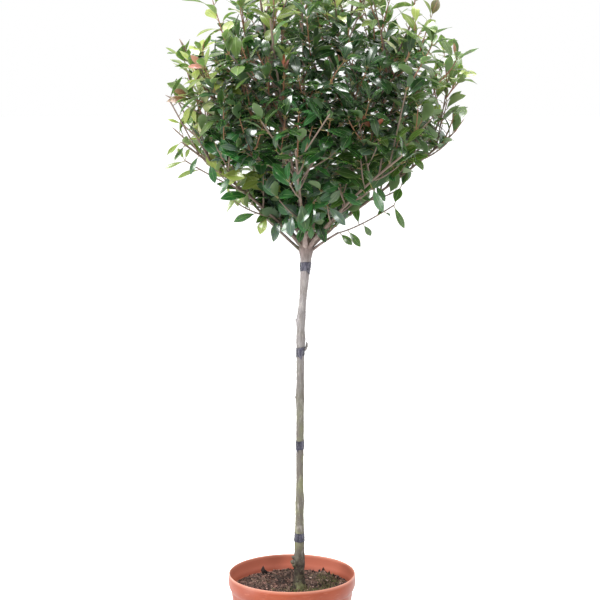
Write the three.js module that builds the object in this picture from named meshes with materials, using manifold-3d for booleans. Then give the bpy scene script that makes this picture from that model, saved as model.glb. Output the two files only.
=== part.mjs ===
// A photinia grown as a half-standard: one clear stem out of a round nursery pot, a fork of
// seventeen boughs, and a loose ball of leafy shoots. Millimetres, +Z up, and the origin is the
// centre of the pot's flat underside.
import * as THREE from "three";
import { mergeVertices } from "three/addons/utils/BufferGeometryUtils.js";
import Module from "manifold-3d";

const wasm = await Module();
wasm.setup();

// ---------------------------------------------------------------- driving dimensions

const GAP = 0.3; // clearance between pieces that touch
const UP = new THREE.Vector3(0, 0, 1);

const POT = {
  height: 210,
  rimRadius: 132.5,
  widestHeight: 193,
  bandFoot: 178,
  neckRadius: 126,
  neckHeight: 169,
  baseRadius: 102,
  wall: 2.4,
  floor: 3,
  segments: 32,
};
const DRAIN = { count: 4, circleRadius: 66, radius: 6, segments: 8 };
const SOIL = { top: 177, lump: 5, flatRadius: 24, rings: 4 };

const STEM = {
  footX: 15, // the stem doesn't stand in the middle of the pot
  lean: 14,
  sway: 3,
  bendFrom: 520, // height over the compost at which most of the lean begins
  forkHeight: 718, // height of the fork over the compost
  top: 748,
  sides: 8,
  rings: 24,
};
// Height over the compost against radius: root flare, waist, and the knuckle at the fork.
const STEM_OUTLINE = [
  [0, 14], [22, 10.7], [83, 9.6], [160, 8], [240, 6.7], [305, 7.2], [443, 7.2],
  [600, 6.8], [655, 8.2], [688, 10.2], [710, 14], [730, 12.5], [748, 9.6],
];
const KNOTS = [
  { height: 58, azimuth: 200, size: 3.2 },
  { height: 185, azimuth: 330, size: 1.6 },
  { height: 403, azimuth: 150, size: 1.8 },
  { height: 524, azimuth: 10, size: 2.6 },
  { height: 564, azimuth: 185, size: 2.2 },
];
const KNOT_SPREAD = 16;

const TIE = { heights: [109, 304, 499, 674], band: 18, thickness: 1.2, clearance: 0.5 };

// The crown's ball, seen from the fork: how far its heart stands over the fork and to the
// side, its radius sideways, up and down, and how far out and down a leaf tip may reach.
const CROWN = {
  offsetX: 22, centreHeight: 300, radius: 298, up: 274, down: 300,
  furthest: 1.07, // as a share of the radius
  lowestAngle: 15,
};

const BOUGH = { sides: 5, rings: 3, tipRadius: 3, arch: 0.05 };
// Whorls of boughs, from the lowest. level is the height of their seat over the fork, seat
// its distance from the stem's middle line, and bare the share of their reach without leaves.
const WHORLS = [
  { name: "low", count: 7, elevation: 37, lean: 4, turn: 4, level: -12, seat: 0, radius: 5, bare: 0.2 },
  { name: "mid", count: 5, elevation: 60, lean: 0, turn: 38, level: 0, seat: 0, radius: 4.8, bare: 0.25 },
  { name: "top", count: 3, elevation: 79, lean: 0, turn: 95, level: 27, seat: 5.4, radius: 4.2, bare: 0.3 },
];
// Single long shoots that leave the stem below the whorls and stand out of the ball.
const SHOOTS = [
  { name: "right", azimuth: -14, elevation: 22, reach: 222, level: -20, seat: 0, radius: 2.6, bare: 0.32 },
  { name: "left", azimuth: 174, elevation: 28, reach: 326, level: -20, seat: 0, radius: 3, bare: 0.42 },
];
const SHOOT_ROOM = { bare: 9, leafy: 46 }; // radius of the space that a shoot keeps round itself

const LEADER = { sides: 4, rings: 4, tipRadius: 2, sway: 8 };
const TWIG = {
  sides: 3, rings: 1, tipRadius: 1.25, longest: 150, shortest: 44, spacing: 38,
  first: 0.08, last: 0.95, // where the first and the last leave the leader
  thinner: 0.66, // radius at its root, as a share of its leader's there
  spreadInside: 58, spreadOutside: 36, // degrees between a twig and its leader
  rise: 0.35,
  margin: 6, // from its end to the neighbouring masses
  furthest: 1.02,
};
const LEAF = {
  length: 82, width: 42, thickness: 2, thickest: 0.16, widest: 0.48,
  edgeLevel: -0.01, tipLevel: -0.02, // height over the root, as a share of the length
  spacing: 22, first: 0.3, last: 0.97, // along a twig
  firstOnLeader: 0.7, firstOnShoot: 0.25,
  spread: 54, tipSpread: 14, // degrees between a leaf and its twig
  hang: 0.12,
  clearance: 2.4, rootClearance: 11,
  onShoot: 0.66, // the size of the leaves on the single shoots
};
const SEED = 7301;
const GOLDEN_ANGLE = 137.5;

// ---------------------------------------------------------------- small tools

const radians = (degrees) => (degrees * Math.PI) / 180;

// A seeded row of numbers from 0 to 1, the same on every machine.
class Dice {
  constructor(seed) {
    this.state = seed >>> 0;
    this.between(0, 1);
  }
  between(low, high) {
    this.state = (Math.imul(this.state, 1664525) + 1013904223) >>> 0;
    return low + ((high - low) * this.state) / 4294967296;
  }
}

function direction(azimuth, elevation) {
  const level = Math.cos(radians(elevation));
  return new THREE.Vector3(
    level * Math.cos(radians(azimuth)),
    level * Math.sin(radians(azimuth)),
    Math.sin(radians(elevation)),
  );
}

// A closed geometry as a solid. Normals and uvs are dropped, so that shared vertices merge.
function solidOf(geometry) {
  const bare = new THREE.BufferGeometry();
  bare.setAttribute("position", geometry.getAttribute("position"));
  bare.setIndex(geometry.index);
  const merged = mergeVertices(bare, 1e-3);
  return new wasm.Manifold(
    new wasm.Mesh({
      numProp: 3,
      vertProperties: merged.attributes.position.array,
      triVerts: new Uint32Array(merged.index.array),
    }),
  );
}

// The largest piece of a solid, as a geometry. Loose scraps and the skins of sealed hollows go.
function geometryOf(solid) {
  const largest = solid.decompose().reduce((a, b) => (b.volume() > a.volume() ? b : a));
  const mesh = largest.getMesh();
  const geometry = new THREE.BufferGeometry();
  geometry.setAttribute("position", new THREE.BufferAttribute(mesh.vertProperties, 3));
  geometry.setIndex(new THREE.BufferAttribute(mesh.triVerts, 1));
  geometry.computeVertexNormals();
  return geometry;
}

// Moves every vertex of a geometry: place(x, y, z) returns where it goes.
function reshape(geometry, place) {
  const position = geometry.getAttribute("position");
  for (let i = 0; i < position.count; i++) {
    const moved = place(position.getX(i), position.getY(i), position.getZ(i));
    position.setXYZ(i, moved.x, moved.y, moved.z);
  }
  return geometry;
}

// A turned geometry about +Z. outline holds [radius, height] pairs, up the outside first.
function turned(outline, segments) {
  const points = outline.map(([radius, height]) => new THREE.Vector2(radius, height));
  return new THREE.LatheGeometry(points, segments).rotateX(Math.PI / 2);
}

// A tapering limb of wood: a unit cylinder whose rings are carried along a curve.
class Limb {
  constructor(curve, radiusFrom, radiusTo, sides, rings) {
    Object.assign(this, { radiusFrom, radiusTo, sides, rings });
    this.centres = curve.getSpacedPoints(rings);
    this.frames = curve.computeFrenetFrames(rings);
    this.length = curve.getLength();
  }
  radiusAt(share) {
    return THREE.MathUtils.lerp(this.radiusFrom, this.radiusTo, share);
  }
  ringBelow(share) {
    return Math.min(Math.floor(share * this.rings), this.rings - 1);
  }
  // The point at a share of the length, on the straight stretch between two rings.
  pointAt(share) {
    const ring = this.ringBelow(share);
    return this.centres[ring].clone().lerp(this.centres[ring + 1], share * this.rings - ring);
  }
  // A direction at an angle to the limb, through the middle of one of its flat sides.
  branchHeading(share, side, angle) {
    const ring = this.ringBelow(share);
    const turn = (2 * Math.PI * (side + 0.5)) / this.sides;
    const onward = this.centres[ring + 1].clone().sub(this.centres[ring]).normalize();
    return onward
      .multiplyScalar(Math.cos(angle))
      .addScaledVector(this.frames.binormals[ring], Math.sin(angle) * Math.sin(turn))
      .addScaledVector(this.frames.normals[ring], Math.sin(angle) * Math.cos(turn));
  }
  solid() {
    const cylinder = new THREE.CylinderGeometry(1, 1, 1, this.sides, this.rings);
    return solidOf(
      reshape(cylinder, (x, y, z) => {
        const ring = Math.round((y + 0.5) * this.rings);
        const radius = this.radiusAt(ring / this.rings);
        return this.centres[ring]
          .clone()
          .addScaledVector(this.frames.binormals[ring], x * radius)
          .addScaledVector(this.frames.normals[ring], z * radius);
      }),
    );
  }
}

// ---------------------------------------------------------------- pot and compost

const potRadiusAt = (height) =>
  THREE.MathUtils.mapLinear(height, 0, POT.neckHeight, POT.baseRadius, POT.neckRadius);

function pot() {
  const inside = (height) => potRadiusAt(height) - POT.wall;
  const outline = [
    [0, 0],
    [POT.baseRadius - 2, 0],
    [potRadiusAt(3), 3],
    [POT.neckRadius, POT.neckHeight],
    [POT.rimRadius - 4.5, POT.bandFoot],
    [POT.rimRadius, POT.widestHeight],
    [POT.rimRadius - 1.2, POT.height],
    [POT.rimRadius - 3.6, POT.height],
    [POT.rimRadius - 3.2, POT.widestHeight],
    [inside(POT.neckHeight), POT.neckHeight],
    [inside(POT.floor), POT.floor],
    [0, POT.floor],
  ];
  let solid = solidOf(turned(outline, POT.segments));
  for (let k = 0; k < DRAIN.count; k++) {
    const turn = (2 * Math.PI * k) / DRAIN.count;
    const drill = new THREE.CylinderGeometry(DRAIN.radius, DRAIN.radius, 4 * POT.floor, DRAIN.segments)
      .rotateX(Math.PI / 2)
      .translate(DRAIN.circleRadius * Math.cos(turn), DRAIN.circleRadius * Math.sin(turn), 0);
    solid = solid.subtract(solidOf(drill));
  }
  return solid;
}

// How far the compost's surface stands over its mean level: lumps that die out at the wall
// and around the stem's foot.
function lumpAt(x, y, radius) {
  const fromMiddle = Math.hypot(x, y);
  const fromStem = Math.hypot(x - STEM.footX, y);
  const edge = 1 - THREE.MathUtils.smoothstep(fromMiddle, 0.8 * radius, radius);
  const foot = THREE.MathUtils.smoothstep(fromStem, SOIL.flatRadius, 2.2 * SOIL.flatRadius);
  const broad = Math.sin(x * 0.055 + 1.3) * Math.cos(y * 0.071 - 0.6);
  const fine = 0.5 * Math.sin(x * 0.13 + y * 0.09);
  return SOIL.lump * edge * foot * (broad + fine);
}

function compost() {
  const clear = POT.wall + GAP;
  const foot = POT.floor + GAP;
  const topRadius = potRadiusAt(POT.neckHeight) - clear;
  const outline = [[0, foot], [potRadiusAt(foot) - clear, foot], [topRadius, POT.neckHeight]];
  for (let ring = 0; ring <= SOIL.rings; ring++)
    outline.push([topRadius * (1 - ring / SOIL.rings), SOIL.top]);
  return solidOf(
    reshape(turned(outline, POT.segments), (x, y, z) =>
      new THREE.Vector3(x, y, z < SOIL.top - 1 ? z : SOIL.top + lumpAt(x, y, topRadius))),
  );
}

// ---------------------------------------------------------------- stem and its ties

function stemCentre(height) {
  const share = height / STEM.forkHeight;
  const bend = THREE.MathUtils.smoothstep(height, STEM.bendFrom, STEM.forkHeight);
  return new THREE.Vector3(
    STEM.footX + STEM.lean * (0.25 * Math.min(share, 1) + 0.75 * bend),
    STEM.sway * Math.sin(1.5 * Math.PI * share),
    SOIL.top + GAP + height,
  );
}

function stemRadius(height, azimuth) {
  const last = STEM_OUTLINE.length - 1;
  let k = 0;
  while (k < last - 1 && height > STEM_OUTLINE[k + 1][0]) k++;
  const [[low, from], [high, to]] = [STEM_OUTLINE[k], STEM_OUTLINE[k + 1]];
  const knots = KNOTS.reduce((sum, knot) => {
    const around = 2 * from * Math.sin((azimuth - radians(knot.azimuth)) / 2);
    const away = Math.hypot(height - knot.height, around) / KNOT_SPREAD;
    return sum + knot.size * Math.exp(-away * away);
  }, 0);
  return from + (to - from) * THREE.MathUtils.smoothstep(height, low, high) + knots;
}

// A point on the stem's skin, or outward from it, at the level of one of its rings.
function ringPoint(ring, azimuth, outward) {
  const height = (STEM.top * ring) / STEM.rings;
  const radius = stemRadius(height, azimuth) + outward;
  return stemCentre(height).add(direction(azimuth / radians(1), 0).multiplyScalar(radius));
}

// A point on the stem's skin at any height: straight from each ring to the next.
function skinPoint(height, azimuth, outward) {
  const level = (height * STEM.rings) / STEM.top;
  const ring = THREE.MathUtils.clamp(Math.floor(level), 0, STEM.rings - 1);
  return ringPoint(ring, azimuth, outward).lerp(ringPoint(ring + 1, azimuth, outward), level - ring);
}

// The stem, or with grow the space that it and a clearance of grow take up.
function stem(grow = 0) {
  const cylinder = new THREE.CylinderGeometry(1, 1, 1, STEM.sides, STEM.rings);
  return solidOf(
    reshape(cylinder.rotateX(Math.PI / 2), (x, y, z) => {
      const height = (z + 0.5) * (STEM.top + 2 * grow) - grow;
      const onAxis = Math.hypot(x, y) < 0.5;
      return skinPoint(height, Math.atan2(y, x), onAxis ? -stemRadius(height, 0) : grow);
    }),
  );
}

// A band of tying tape round the stem.
function tie(height) {
  const [inner, outer] = [TIE.clearance, TIE.clearance + TIE.thickness];
  const half = TIE.band / 2;
  const outline = [
    [1 + inner, -half], [1 + outer, -half], [1 + outer, half], [1 + inner, half], [1 + inner, -half],
  ];
  return solidOf(
    reshape(turned(outline, STEM.sides), (x, y, level) =>
      skinPoint(height + level, Math.atan2(y, x), Math.hypot(x, y) - 1)),
  );
}

// ---------------------------------------------------------------- the crown's space

const FORK = stemCentre(STEM.forkHeight);
const HEART = FORK.clone().add(new THREE.Vector3(CROWN.offsetX, 0, CROWN.centreHeight));

// How far a point lies out from the crown's heart, as a share of the ball's radius that way.
function shareOfBall(point) {
  const away = point.clone().sub(HEART);
  const tall = away.z > 0 ? CROWN.up : CROWN.down;
  return Math.hypot(away.x / CROWN.radius, away.y / CROWN.radius, away.z / tall);
}

// The distance from the fork to the ball's skin along a direction.
function reachAlong(heading) {
  let [inside, outside] = [60, 2 * CROWN.radius + 60];
  for (let k = 0; k < 30; k++) {
    const middle = (inside + outside) / 2;
    if (shareOfBall(FORK.clone().addScaledVector(heading, middle)) < 1) inside = middle;
    else outside = middle;
  }
  return inside;
}

// Every bough: its heading, its seat on the stem, where its bare wood ends, and its reach.
function planBoughs() {
  const dice = new Dice(SEED);
  const plans = [];
  for (const whorl of WHORLS)
    for (let k = 0; k < whorl.count; k++) {
      const azimuth = whorl.turn + (360 * k) / whorl.count + dice.between(-6, 6);
      const lift = whorl.lean * Math.cos(radians(azimuth - 180)) + dice.between(-2, 2);
      const heading = direction(azimuth, whorl.elevation + lift);
      const reach = reachAlong(heading) * dice.between(0.97, 1.05);
      plans.push({ ...whorl, name: `${whorl.name}_${k + 1}`, azimuth, heading, reach, wild: false });
    }
  for (const shoot of SHOOTS) {
    const heading = direction(shoot.azimuth, shoot.elevation);
    plans.push({ ...shoot, name: `shoot_${shoot.name}`, heading, wild: true });
  }
  return plans;
}
const PLANS = planBoughs();

const awayFromLine = (away, heading) => away.clone().projectOnVector(heading).distanceTo(away);

// Whether a point keeps to its bough's part of the crown, margin clear of every other part:
// a cone from the fork that is nearer to its heading than to any other, with the room that
// the single shoots need taken out.
function inSpace(plan, point, margin) {
  const away = point.clone().sub(FORK);
  if (plan.wild) return awayFromLine(away, plan.heading) < SHOOT_ROOM.leafy - margin;
  const slope = Math.atan2(away.z, Math.hypot(away.x, away.y));
  if (slope < radians(CROWN.lowestAngle) || shareOfBall(point) > CROWN.furthest) return false;
  return PLANS.every((other) => {
    if (other === plan) return true;
    if (!other.wild) return away.dot(plan.heading.clone().sub(other.heading).normalize()) > margin;
    const isBare = away.dot(other.heading) < other.bare * other.reach;
    const room = isBare ? SHOOT_ROOM.bare : SHOOT_ROOM.leafy;
    return awayFromLine(away, other.heading) > room + margin;
  });
}

// ---------------------------------------------------------------- boughs

const tipRadiusOf = (plan) => Math.min(BOUGH.tipRadius, 0.8 * plan.radius);

function boughCurve(plan) {
  const seat = stemCentre(STEM.forkHeight + plan.level);
  const tip = FORK.clone().addScaledVector(plan.heading, plan.reach * plan.bare);
  const middle = seat.clone().lerp(tip, 0.5);
  middle.z += BOUGH.arch * seat.distanceTo(tip);
  seat.add(direction(plan.azimuth, 0).multiplyScalar(plan.seat));
  return new THREE.QuadraticBezierCurve3(seat, middle, tip);
}

const bough = (plan) =>
  new Limb(boughCurve(plan), plan.radius, tipRadiusOf(plan), BOUGH.sides, BOUGH.rings);

// ---------------------------------------------------------------- masses of foliage

// The shoot that carries a mass on from its bough's tip to the ball's skin.
function leader(plan, dice) {
  const curve = boughCurve(plan);
  const onward = curve.getTangent(1);
  const start = curve.getPoint(1).addScaledVector(onward, GAP);
  const end = FORK.clone().addScaledVector(plan.heading, plan.reach);
  const middle = start.clone().addScaledVector(onward, 0.5 * start.distanceTo(end));
  middle.x += dice.between(-LEADER.sway, LEADER.sway);
  middle.y += dice.between(-LEADER.sway, LEADER.sway);
  const path = new THREE.QuadraticBezierCurve3(start, middle, end);
  return new Limb(path, tipRadiusOf(plan), LEADER.tipRadius, LEADER.sides, LEADER.rings);
}

// A side twig that leaves a limb at share, rises to the light, and stays in its mass's space.
function twig(plan, parent, share, side) {
  const angle = radians(THREE.MathUtils.lerp(TWIG.spreadInside, TWIG.spreadOutside, share));
  const heading = parent.branchHeading(share, side, angle).addScaledVector(UP, TWIG.rise).normalize();
  const root = parent.pointAt(share);
  const radius = TWIG.thinner * parent.radiusAt(share);
  for (let length = TWIG.longest; length > TWIG.shortest; length *= 0.85) {
    const end = root.clone().addScaledVector(heading, length);
    if (inSpace(plan, end, TWIG.margin) && shareOfBall(end) < TWIG.furthest)
      return new Limb(new THREE.LineCurve3(root, end), radius, TWIG.tipRadius, TWIG.sides, TWIG.rings);
  }
  return null;
}

// The twigs along a mass's leader, wound round it by the golden angle. Where a neighbouring
// mass would cut one short, it turns to where there is clearly more room.
function twigsOf(plan, parent, dice) {
  const twigs = [];
  const count = plan.wild ? 0 : Math.round(parent.length / TWIG.spacing);
  for (let k = 0; k < count; k++) {
    const share = THREE.MathUtils.lerp(TWIG.first, TWIG.last, k / count);
    const side = ((GOLDEN_ANGLE * k + dice.between(-20, 20)) / 360) * parent.sides;
    const tried = [0, 0.5, -0.5, 1, -1].map((turn) => twig(plan, parent, share, side + turn));
    const longest = tried.reduce((a, b) => (b && (!a || b.length > 1.3 * a.length) ? b : a));
    if (longest) twigs.push(longest);
  }
  return twigs;
}

// A leaf of six faces, a turned spindle of three sides laid flat: its root at the origin, a
// midrib that is thickest near the root, two edges that hang, and a tip that droops.
function leafGeometry(size) {
  const spindle = new THREE.LatheGeometry(
    [new THREE.Vector2(0, 0), new THREE.Vector2(1, 0.5), new THREE.Vector2(0, 1)], 3);
  const long = LEAF.length * size;
  const root = new THREE.Vector3();
  const tip = new THREE.Vector3(long, 0, LEAF.tipLevel * long);
  const midrib = new THREE.Vector3(LEAF.thickest * long, 0, LEAF.thickness * size);
  const edge = (side) =>
    new THREE.Vector3(LEAF.widest * long, (side * LEAF.width * size) / 2, LEAF.edgeLevel * long);
  return reshape(spindle, (x, y, z) => {
    if (y < 0.1) return root;
    if (y > 0.9) return tip;
    return z > 0.9 ? midrib : edge(-Math.sign(x));
  });
}

// Where a leaf sits: its matrix, the two halves of its blade, and points along its rim.
function placeLeaf(limb, share, side, spread, size) {
  const point = limb.branchHeading(share, side, spread).addScaledVector(UP, -LEAF.hang).normalize();
  const skyward = limb.branchHeading(share, side, 0).add(UP);
  const across = new THREE.Vector3().crossVectors(skyward, point).normalize();
  const face = new THREE.Vector3().crossVectors(point, across);
  const root = limb.pointAt(share);
  const matrix = new THREE.Matrix4().makeBasis(point, across, face).setPosition(root);
  const at = (along, out, over) =>
    new THREE.Vector3(along * LEAF.length, out * LEAF.width, over * LEAF.length)
      .multiplyScalar(size)
      .applyMatrix4(matrix);
  const tip = at(1, 0, LEAF.tipLevel);
  const [left, right] = [0.5, -0.5].map((out) => at(LEAF.widest, out, LEAF.edgeLevel));
  const halves = [new THREE.Triangle(root, left, tip), new THREE.Triangle(root, tip, right)];
  const rim = [left, right, tip];
  for (const part of [0.3, 0.65])
    for (const [from, to] of [[root, left], [root, right], [left, tip], [right, tip], [root, tip]])
      rim.push(from.clone().lerp(to, part));
  return { matrix, size, root, halves, rim };
}

// Whether every one of some points stands clear of a leaf's blade.
function clearOf(leaf, points, clearance) {
  const nearest = new THREE.Vector3();
  const isClear = (half, point) => half.closestPointToPoint(point, nearest).distanceTo(point) > clearance;
  return points.every((point) => leaf.halves.every((half) => isClear(half, point)));
}

// Whether a leaf keeps to its mass's space, and clear of the mass's wood and other leaves.
function leafFits(plan, leaf, limbs, leaves) {
  if (!leaf.rim.every((point) => inSpace(plan, point, 1))) return false;
  const apart = (a, b) => clearOf(a, b.rim, LEAF.clearance) && clearOf(b, a.rim, LEAF.clearance);
  if (!leaves.every((other) => apart(leaf, other))) return false;
  return limbs.every((limb) => {
    const steps = Math.ceil(limb.length / 6);
    const wood = Array.from({ length: steps + 1 }, (_, k) => limb.pointAt(k / steps));
    const beyondRoot = wood.filter((point) => point.distanceTo(leaf.root) > LEAF.rootClearance);
    return clearOf(leaf, beyondRoot, limb.radiusFrom + 1.2);
  });
}

// The leaves along one limb, from the one at its tip inwards, each on the next flat side.
// One that doesn't fit tries the other sides, turned a little, and is skipped if none will do.
function addLeaves(plan, limb, first, limbs, leaves, dice) {
  const count = Math.max(2, Math.round((limb.length * (1 - first)) / LEAF.spacing));
  const start = Math.floor(dice.between(0, limb.sides));
  for (let k = count; k >= 0; k--) {
    const share = THREE.MathUtils.lerp(first, LEAF.last, k / count);
    const size = dice.between(0.84, 1.08) * (plan.wild ? LEAF.onShoot : 1);
    const spread = radians(k === count ? LEAF.tipSpread : LEAF.spread);
    const leaf = [0, 1, 2, 0.2, 1.2, 2.2, -0.2, 0.8, 1.8]
      .map((turn) => placeLeaf(limb, share, start + k + turn, spread, size))
      .find((tried) => leafFits(plan, tried, limbs, leaves));
    if (leaf) leaves.push(leaf);
  }
}

// One mass of foliage: its leader, with twigs and leaves fused on.
function mass(plan, index) {
  const dice = new Dice(SEED + 97 * (index + 1));
  const main = leader(plan, dice);
  const twigs = twigsOf(plan, main, dice);
  const limbs = [main, ...twigs, bough(plan)];
  const leaves = [];
  for (const side of twigs) addLeaves(plan, side, LEAF.first, limbs, leaves, dice);
  addLeaves(plan, main, plan.wild ? LEAF.firstOnShoot : LEAF.firstOnLeader, limbs, leaves, dice);
  const wood = twigs.reduce((solid, side) => solid.add(side.solid()), main.solid());
  const blade = (leaf) => solidOf(leafGeometry(leaf.size).applyMatrix4(leaf.matrix));
  return leaves.reduce((solid, leaf) => solid.add(blade(leaf)), wood);
}

// ---------------------------------------------------------------- the whole plant

const material = (color, roughness) =>
  new THREE.MeshStandardMaterial({ color, roughness, metalness: 0 });
const terracotta = material("#d2714f", 0.4);
const peat = material("#4a3a30", 0.95);
const bark = material("#97897c", 0.85);
const tape = material("#2c2e42", 0.5);
const foliage = material("#2f6b38", 0.45);

const plant = new THREE.Group();
function add(name, solid, finish) {
  const mesh = new THREE.Mesh(geometryOf(solid), finish);
  mesh.name = name;
  plant.add(mesh);
}

add("pot", pot(), terracotta);
add("compost", compost(), peat);
add("stem", stem(), bark);
TIE.heights.forEach((height, k) => add(`tie_${k + 1}`, tie(height), tape));

const aroundStem = stem(GAP);
for (const plan of PLANS) add(`bough_${plan.name}`, bough(plan).solid().subtract(aroundStem), bark);
PLANS.forEach((plan, index) => add(`foliage_${plan.name}`, mass(plan, index), foliage));

export default plant;
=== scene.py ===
"""The looks of a photinia grown as a half-standard in a nursery pot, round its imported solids.

The growth rule is the one that the solids follow. Here it is carried on to finer twigs and to
leaves of their real size. Sizes are in millimetres until a mesh is made, and +Z is up.
"""

import math
from types import SimpleNamespace

import bpy
import numpy as np
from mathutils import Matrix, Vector, noise


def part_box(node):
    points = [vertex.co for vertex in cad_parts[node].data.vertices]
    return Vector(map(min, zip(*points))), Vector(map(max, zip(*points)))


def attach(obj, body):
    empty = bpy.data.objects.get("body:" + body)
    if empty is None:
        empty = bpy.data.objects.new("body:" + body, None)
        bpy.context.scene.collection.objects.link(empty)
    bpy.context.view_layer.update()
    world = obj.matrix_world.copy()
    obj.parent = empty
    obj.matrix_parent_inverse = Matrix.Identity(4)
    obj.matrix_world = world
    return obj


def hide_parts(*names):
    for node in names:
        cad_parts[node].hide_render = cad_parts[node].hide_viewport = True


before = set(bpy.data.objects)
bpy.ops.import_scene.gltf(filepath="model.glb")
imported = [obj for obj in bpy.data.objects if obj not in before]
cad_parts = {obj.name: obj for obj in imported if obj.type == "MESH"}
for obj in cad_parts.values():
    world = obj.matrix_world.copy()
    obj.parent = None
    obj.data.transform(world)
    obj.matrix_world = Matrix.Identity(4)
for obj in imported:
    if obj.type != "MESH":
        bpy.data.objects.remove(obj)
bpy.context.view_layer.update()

METRES = 0.001
UP = np.array([0.0, 0.0, 1.0])
SEED = 7301
GOLDEN_ANGLE = 137.5
CAMERA = (16.6, -3400.0, 1282.0)
CAMERA_TILT = 8.35  # degrees below level
LENS = 101.46  # millimetres, for a sensor 36 mm wide

# ---------------------------------------------------------------- sizes shared with the solids

POT_RIM_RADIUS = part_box("pot")[1].x / METRES
POT_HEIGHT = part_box("pot")[1].z / METRES
POT_NECK = (126.0, 169.0)  # radius and height where the wall meets the band under the rim
POT_BASE_RADIUS = 102.0
POT_WALL = 2.4
POT_FLOOR = 3.0
DRAIN = SimpleNamespace(count=4, circle=66.0, radius=6.0)
SOIL = SimpleNamespace(top=177.0, lump=5.0, flat_radius=24.0)

STEM = SimpleNamespace(foot_x=15.0, lean=14.0, sway=3.0, bend_from=520.0, fork=718.0, top=748.0)
# Height over the compost against radius.
STEM_OUTLINE = np.array([
    (0, 14), (22, 10.7), (83, 9.6), (160, 8), (240, 6.7), (305, 7.2), (443, 7.2),
    (600, 6.8), (655, 8.2), (688, 10.2), (710, 14), (730, 12.5), (748, 9.6),
])
# Height, azimuth and size of the knots on the stem, and how far each spreads.
KNOTS = [(58, 200, 3.2), (185, 330, 1.6), (403, 150, 1.8), (524, 10, 2.6), (564, 185, 2.2)]
KNOT_SPREAD = 16.0
TIE_HEIGHTS = [109, 304, 499, 674]
TIE_BAND = 18.0

GAP = 0.3
CROWN = SimpleNamespace(offset=(22, 0, 300), radius=298, up=274, down=300, furthest=1.07, lowest=15)
BOUGH = SimpleNamespace(tip_radius=3.0, arch=0.05)
WHORLS = [
    dict(name="low", count=7, elevation=37, lean=4, turn=4, level=-12, seat=0, radius=5, bare=0.2),
    dict(name="mid", count=5, elevation=60, lean=0, turn=38, level=0, seat=0, radius=4.8, bare=0.25),
    dict(name="top", count=3, elevation=79, lean=0, turn=95, level=27, seat=5.4, radius=4.2, bare=0.3),
]
SHOOTS = [
    dict(name="right", azimuth=-14, elevation=22, reach=222, level=-20, seat=0, radius=2.6, bare=0.32),
    dict(name="left", azimuth=174, elevation=28, reach=326, level=-20, seat=0, radius=3, bare=0.42),
]
SHOOT_ROOM = SimpleNamespace(bare=9, leafy=46)
LEADER = SimpleNamespace(sides=4, rings=4, tip_radius=2.0, sway=8)
TWIG = SimpleNamespace(
    sides=3, rings=1, tip_radius=1.25, longest=150, shortest=44, spacing=38, first=0.08, last=0.95,
    thinner=0.66, inside=58, outside=36, rise=0.35, margin=6, furthest=1.02,
)

# ---------------------------------------------------------------- small tools


class Dice:
    """A seeded row of numbers, the same one that the solids use."""

    def __init__(self, seed):
        self.state = seed
        self.between(0, 1)

    def between(self, low, high):
        self.state = (self.state * 1664525 + 1013904223) % 2**32
        return low + (high - low) * self.state / 2**32

    def around(self, spread):
        return self.between(-spread, spread)

    def chance(self, share):
        return self.between(0, 1) < share

    def pick(self, kinds):
        return kinds[int(self.between(0, len(kinds)))]


def direction(azimuth, elevation):
    level = math.cos(math.radians(elevation))
    turn = math.radians(azimuth)
    return np.array([level * math.cos(turn), level * math.sin(turn), math.sin(math.radians(elevation))])


def unit(vector):
    return vector / np.linalg.norm(vector)


def lerp(low, high, share):
    return low + (high - low) * share


def smoothstep(value, low, high):
    share = np.clip((value - low) / (high - low), 0, 1)
    return share * share * (3 - 2 * share)


def turned(vector, axis, angle):
    """A vector turned round a unit axis."""
    return (
        vector * math.cos(angle)
        + np.cross(axis, vector) * math.sin(angle)
        + axis * axis.dot(vector) * (1 - math.cos(angle))
    )


def fractal(x, y, z, octaves=3):
    """Soft noise, about from -1 to 1."""
    return noise.fractal(Vector((x, y, z)), 0.9, 2.1, octaves)


def colour(red, green, blue):
    """A colour as seen, from 0 to 255, as the linear values that a shader takes."""
    shares = [tone / 255 for tone in (red, green, blue)]
    return (*(s / 12.92 if s < 0.0404 else ((s + 0.055) / 1.055) ** 2.4 for s in shares), 1)


def placed(name, data):
    """A new object in the scene."""
    made = bpy.data.objects.new(name, data)
    bpy.context.scene.collection.objects.link(made)
    return made


class Shape:
    """Points and faces that gather into one mesh."""

    def __init__(self):
        self.points, self.faces, self.slots, self.total = [], [], [], 0

    def add(self, points, faces, slot=0):
        """More faces, all in one material slot or each in its own."""
        points = np.asarray(points, float).reshape(-1, 3)
        self.points.append(points)
        for face in faces:
            self.faces.append([index + self.total for index in face])
        self.slots.extend([slot] * len(faces) if isinstance(slot, int) else slot)
        self.total += len(points)

    def mesh(self, name):
        made = bpy.data.meshes.new(name)
        made.from_pydata((np.concatenate(self.points) * METRES).tolist(), [], self.faces)
        return made

    def piece(self, name, materials, slot, replaced, sharp=None):
        """The mesh as an object that stands for CAD nodes and rides on the part."""
        mesh = self.mesh(name)
        for material in materials:
            mesh.materials.append(material)
        mesh.polygons.foreach_set("material_index", self.slots)
        mesh.polygons.foreach_set("use_smooth", [True] * len(self.faces))
        if sharp is not None:
            mesh.set_sharp_from_angle(angle=math.radians(sharp))
        mesh.update()
        made = placed(name, mesh)
        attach(made, "root")
        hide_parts(*replaced)
        return made


def ring_faces(rings, sides):
    """The quads between closed rings of points, ring after ring."""
    faces = []
    for first in range(0, (rings - 1) * sides, sides):
        for k in range(sides):
            here, after = first + k, first + (k + 1) % sides
            faces.append((here, after, after + sides, here + sides))
    return faces


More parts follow.
